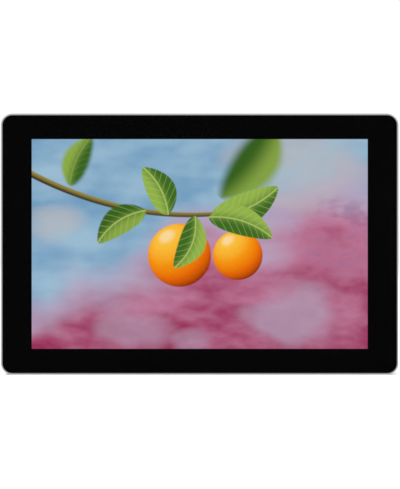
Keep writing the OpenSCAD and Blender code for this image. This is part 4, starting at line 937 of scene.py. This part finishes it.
class MONITOR_OT_fan(Operator):
    """Shape the fan's rotor with its swept, twisted blades"""

    bl_idname = "monitor.fan"
    bl_label = "Fan rotor"

    def execute(self, context):
        """A blade is an aerofoil loop at each radius: at chord share c it lies c of the way from its front to
        its back and is turned by -twist * (1 - c) plus sweep * (share of the span) squared, and its two sides
        part by a thickness that rises as the root of c and falls to nothing at the edge. The hub is a turned
        cup on a turned shaft, in millimetres."""
        s = sizes()
        low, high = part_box("fan_rotor")
        axis_x, axis_z = (low.x + high.x) / 2, (low.z + high.z) / 2
        hub, tip, sunk = 0.010, 0.0184, 0.0007
        back, front = high.y - 0.0003, high.y - 0.0043
        root_share, tip_loss, bow = 1.05, 0.45, 0.06
        loop = circle(32)
        chord = 0.5 - 0.5 * np.cos(loop)
        aerofoil = (1.48 * np.sqrt(chord) - 0.63 * chord - 1.76 * chord**2 + 1.42 * chord**3
                    - 0.51 * chord**4)
        upper = np.sign(np.sin(loop) + 1e-12)
        radius = hub - sunk + (tip - hub + sunk) * np.linspace(0, 1, 13)[:, None]
        share = np.clip((radius - hub) / (tip - hub), 0, 1)
        thick = s.blade_thickness * aerofoil * upper * (root_share - tip_loss * share)
        camber = bow * np.sin(np.pi * chord)
        turn = s.blade_sweep * share**2 - s.blade_twist * (1 - chord) + camber + thick / radius
        depth = (front + (back - front) * chord) * np.ones_like(turn)
        patches = []
        for k in range(s.blade_count):
            angle = turn + k * 2 * np.pi / s.blade_count
            wall = np.stack([axis_x + radius * np.cos(angle), depth, axis_z + radius * np.sin(angle)],
                            axis=-1)
            ends = [np.repeat(wall[[i]].mean(axis=1, keepdims=True), len(loop), axis=1) for i in (0, -1)]
            patches.append(np.concatenate([ends[0], wall, ends[1]]))
        wide = (high.y - low.y) / MM
        cup = wide - 4.6
        hub_profile = [(cup, 8.8), (cup, 9.85), (cup + 0.15, 10), (wide - 0.5, 10), (wide - 0.15, 9.85),
                       (wide, 9.4), (wide, 7.2), (wide - 0.15, 7.0), (wide - 0.15, 0), (wide - 0.9, 0),
                       (wide - 0.9, 8.8), (cup, 8.8)]
        shaft = [(0, 0), (0, 0.8), (0.2, 1), (wide - 0.6, 1), (wide - 0.6, 0)]
        middle = (axis_x, low.y, axis_z)
        patches += [turned(hub_profile, middle, "+y", 64), turned(shaft, middle, "+y", 24)]
        finish = moulded("rotor_plastic", shaded(colours().plastic, 1.2), 0.32, 3000, 0.1)
        make_piece("fan_blades", patches, "black_plastic", "fan_rotor", body="fan_rotor", finish=finish,
                   sharp=40)
        return {"FINISHED"}


class MONITOR_OT_latch(Operator):
    """Add the grip ribs on the battery latch and the bowed spring under it"""

    bl_idname = "monitor.latch"
    bl_label = "Latch grip"

    def execute(self, context):
        """Each rib is a soft block sunk half into the thumb pad. The spring is a thin strip carried along a
        parabola."""
        low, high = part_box("battery_latch")
        pad_middle = low.z + 0.00425
        places = [(0, high.y, z) for z in pad_middle + row(sizes().grip_ribs, 0.00155)]
        rib = pillow((3.3, 0.45, 0.42), 0.6, 11, 33)
        make_piece("latch_grip", strewn(rib, places), "latch_plastic", body="battery_latch")
        low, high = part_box("latch_spring")
        rise, half_thick, clearance, end_share = high.y - low.y, 0.00012, 0.00003, 0.495
        t = np.linspace(-1, 1, 37)
        path = np.stack([np.zeros_like(t), low.y + half_thick + (rise - 2 * half_thick) * (1 - t * t),
                         (low.z + high.z) / 2 + t * (high.z - low.z) * end_share], axis=-1)
        section = strip_outline((high.x - low.x) / 2, half_thick, 0.98)
        leaf_spring = make_piece("spring_leaf", [carried(section, path)], "spring_steel", "latch_spring")
        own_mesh(leaf_spring)
        return {"FINISHED"}


class MONITOR_OT_battery_blades(Operator):
    """Shape the battery's contact blades"""

    bl_idname = "monitor.battery_blades"
    bl_label = "Battery blades"

    def execute(self, context):
        """Each blade is a rounded strip that runs up from the terminal block and narrows to a chisel at its
        tip. All is in millimetres."""
        low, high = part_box("battery_contacts")
        tall, thick = (high.z - low.z) / MM, (high.y - low.y) / MM
        wide, rounding, closed = 2.4, 0.14, 1.2
        levels = [(0, closed), (0, 0), (tall - 1.1, 0), (tall - 0.5, 0.1), (tall - 0.15, 0.24), (tall, 0.36),
                  (tall, closed)]
        patches = [prism(wide, thick, rounding, levels, (x * MM, (low.y + high.y) / 2, low.z), "+z", 7)
                   for x in (-10.5, 6.6, 10.5)]
        make_piece("battery_blades", patches, "gold_contact", "battery_contacts")
        return {"FINISHED"}


class MONITOR_OT_socket_contacts(Operator):
    """Lay the gold contacts on the tongues of the flat sockets"""

    bl_idname = "monitor.socket_contacts"
    bl_label = "Socket contacts"

    def execute(self, context):
        """Rows of soft bars at a steady pitch lie on both faces of each tongue, half of each bar's thickness
        sunk in. All is in millimetres."""
        half_long, half_high = 2.9, 0.06
        patches = []
        for x, depth, z, tongue, pitch, half_wide, counts in (
            (-70.2, 14.9, 32.5, 1.2, 1.0, 0.26, (10, 9)),
            (70.2, 14.9, 96.3, 1.2, 1.0, 0.26, (10, 9)),
            (70.2, 13.8, 79.4, 0.7, 0.5, 0.14, (12, 12)),
        ):
            bar = pillow((half_long, half_high, half_wide), 0.3, 5, 13)
            for face, count in zip((-1, 1), counts):
                places = [spot(x, depth + face * tongue / 2, up) for up in z + row(count, pitch)]
                patches += strewn(bar, places)
        make_piece("socket_contacts", patches, "gold_contact")
        return {"FINISHED"}


class MONITOR_OT_index_dots(Operator):
    """Set the red index dot on each round socket's flange"""

    bl_idname = "monitor.index_dots"
    bl_label = "Index dots"

    def execute(self, context):
        """Each dot is a flat ellipsoid half sunk in the flange, straight above its socket's middle."""
        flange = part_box("round_shells")[1].x
        depth, above = 16.3, 4.45
        places = [spot(flange / MM, depth, socket_z + above) for socket_z in (18.5, 35.5)]
        dot = pillow((0.12, 0.5, 0.5), 1.0, 9, 17)
        finish = moulded("index_red", rgb(200, 20, 18), 0.3, 3000, 0.3)
        make_piece("index_dots", strewn(dot, places), "red_button", finish=finish)
        return {"FINISHED"}


def face_boxes(node):
    """The lowest and highest x and z of each triangle of a CAD node."""
    mesh = frame["nodes"][node].data
    mesh.calc_loop_triangles()
    corners = np.zeros(len(mesh.vertices) * 3)
    mesh.vertices.foreach_get("co", corners)
    index = np.zeros(len(mesh.loop_triangles) * 3, int)
    mesh.loop_triangles.foreach_get("vertices", index)
    faces = corners.reshape(-1, 3)[index].reshape(-1, 3, 3)[..., [0, 2]]
    return np.stack([faces.min(axis=1), faces.max(axis=1)], axis=1)


class MONITOR_OT_board_parts(Operator):
    """Solder the small parts and the chips' legs onto the main board"""

    bl_idname = "monitor.board_parts"
    bl_label = "Board parts"

    # The chips with legs: their middles as shares of the board's half width and half height, and their width
    # and height in millimetres.
    CHIPS = (
        (-0.140, 0.326, 9, 9), (0.140, 0.242, 12, 12), (-0.559, 0.705, 10, 14), (-0.308, 0.789, 7, 7),
        (0.343, 0.811, 9, 9), (-0.615, -0.768, 14, 9), (-0.336, -0.705, 8, 8),
    )
    CROWDED = ("board_components", "shield_cans", "processor", "board_screws", "bnc_bodies", "hdmi_shells",
               "usb_shell", "headphone_jack", "round_shells", "round_nuts", "heat_sink_screws",
               "round_contacts")

    def execute(self, context):
        """Small parts stand on a grid wherever no larger part's faces, widened by a margin, cover the spot,
        and a sum of two sines leaves some of the board bare. Legs stand in rows along two sides of each
        chip."""
        low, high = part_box("main_board")
        margin, part_up, leg_up = 0.0022, 0.00028, 0.00012
        x, z = np.meshgrid(np.arange(low.x + 0.003, high.x - 0.002, 0.0033),
                           np.arange(low.z + 0.003, high.z - 0.002, 0.0042))
        at = np.stack([x.ravel(), z.ravel()], axis=-1)
        taken = np.concatenate([face_boxes(node) for node in self.CROWDED])
        covered = np.all((at[:, None] > taken[None, :, 0] - margin)
                         & (at[:, None] < taken[None, :, 1] + margin), axis=-1).any(axis=1)
        wave = np.sin(at[:, 0] * 810) + np.sin(at[:, 1] * 640 + 1.7)
        free = at[~covered & (wave > 0.1)]
        spots = np.stack([free[:, 0], np.full(len(free), high.y + part_up), free[:, 1]], axis=-1)
        chip = pillow((0.62, 0.3, 0.42), 0.25, 5, 13)
        cap = pillow((0.22, 0.33, 0.45), 0.25, 5, 13)
        to_cap = SIDEWAYS * 0.7 * MM
        ends = np.concatenate([spots + to_cap, spots - to_cap])
        ceramic = moulded("ceramic", rgb(120, 96, 70), 0.45, 3000)
        make_piece("small_parts", strewn(chip, spots), "black_chip", finish=ceramic)
        make_piece("small_part_ends", strewn(cap, ends), "tin_plate")
        pitch, reach = 0.65, 0.35
        half_tall = (high.z - low.z) / 2
        leg = pillow((0.5, 0.14, 0.15), 0.3, 5, 9)
        legs = []
        for share_x, share_z, wide, tall in self.CHIPS:
            middle = np.array([share_x * high.x, high.y + leg_up, low.z + (1 + share_z) * half_tall])
            up = row(int(tall / pitch) - 1, pitch * MM)
            out = (wide / 2 + reach) * MM
            legs += [middle + np.stack([np.full(len(up), side), np.zeros(len(up)), up], axis=-1)
                     for side in (-out, out)]
        make_piece("chip_legs", strewn(leg, np.concatenate(legs)), "tin_plate")
        return {"FINISHED"}


class MONITOR_OT_leads(Operator):
    """Lay the fan's and the battery's wires as round, coloured leads"""

    bl_idname = "monitor.leads"
    bl_label = "Leads"

    def execute(self, context):
        """A circle is carried along a cubic curve from the fan or the terminals down to the socket. Places
        and the ways that the curves leave and arrive are in millimetres."""
        s = sizes()
        arrive = np.array((0, -4, 0)) * MM
        half_gap = 1.3
        turn = circle(16)
        for name, node, start, leave, end, radius in (
            ("fan_wires", "fan_lead", (-27.5, 17, 38.5), (0, 0, -4), (-27.5, 14.6, 34), s.fan_wire),
            ("battery_wires", "battery_lead", (8.6, 28.6, 32.4), (0, -4, 0), (8.6, 15.2, 32.4),
             s.battery_wire),
        ):
            section = np.stack([np.cos(turn), np.sin(turn)], axis=-1) * radius
            path = curve(spot(*start), np.array(leave) * MM, arrive, spot(*end), 24)
            patches = [carried(section, path + shift * SIDEWAYS)
                       for shift in (-half_gap * radius, half_gap * radius)]
            finish = insulated(name + "_insulation", start[0] * MM)
            make_piece(name, patches, "red_wire", node, finish=finish)
        return {"FINISHED"}


class MONITOR_OT_ribbons(Operator):
    """Lay the display's and the touch sensor's flexible ribbons"""

    bl_idname = "monitor.ribbons"
    bl_label = "Ribbons"

    def execute(self, context):
        """A thin strip is carried along a line that lies flat, bends back in a smooth S and lies flat
        again."""
        half_thick, inside, bend_from, bend_share = 0.0001, 0.00015, 0.36, 0.38
        t = np.linspace(0, 1, 40)
        step = np.clip((t - bend_from) / bend_share, 0, 1)
        for node in ("display_ribbon", "touch_ribbon"):
            low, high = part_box(node)
            depth = low.y + inside + (high.y - low.y - 2 * inside) * step**2 * (3 - 2 * step)
            path = np.stack([np.full_like(t, (high.x + low.x) / 2), depth, low.z + (high.z - low.z) * t],
                            axis=-1)
            section = strip_outline((high.x - low.x) / 2, half_thick, 0.99)
            make_piece(node + "_strip", [carried(section, path)], "amber_ribbon", node)
        return {"FINISHED"}


PIECES = [
    MONITOR_OT_camera, MONITOR_OT_stage, MONITOR_OT_glass, MONITOR_OT_casing, MONITOR_OT_metals,
    MONITOR_OT_plastics, MONITOR_OT_electronics, MONITOR_OT_threads, MONITOR_OT_buttons, MONITOR_OT_fan,
    MONITOR_OT_latch, MONITOR_OT_battery_blades, MONITOR_OT_socket_contacts, MONITOR_OT_index_dots,
    MONITOR_OT_board_parts, MONITOR_OT_leads, MONITOR_OT_ribbons,
]


class MONITOR_PT_panel(Panel):
    """Lists the steps that dress the monitor"""

    bl_idname = "MONITOR_PT_panel"
    bl_label = "Field Monitor"
    bl_space_type = "VIEW_3D"
    bl_region_type = "UI"
    bl_category = "Field Monitor"

    def draw(self, context):
        for piece in PIECES:
            self.layout.operator(piece.bl_idname)
        for group in (context.scene.monitor_sizes, context.scene.monitor_colours):
            for key in group.__annotations__:
                self.layout.prop(group, key)


CLASSES = [MonitorSizes, MonitorColours, *PIECES, MONITOR_PT_panel]


def register():
    for item in CLASSES:
        bpy.utils.register_class(item)
    bpy.types.Scene.monitor_sizes = PointerProperty(type=MonitorSizes)
    bpy.types.Scene.monitor_colours = PointerProperty(type=MonitorColours)


def unregister():
    del bpy.types.Scene.monitor_colours
    del bpy.types.Scene.monitor_sizes
    for item in reversed(CLASSES):
        bpy.utils.unregister_class(item)


def main():
    register()
    for piece in PIECES:
        group, step = piece.bl_idname.split(".")
        getattr(getattr(bpy.ops, group), step)()


if __name__ == "__main__":
    main()
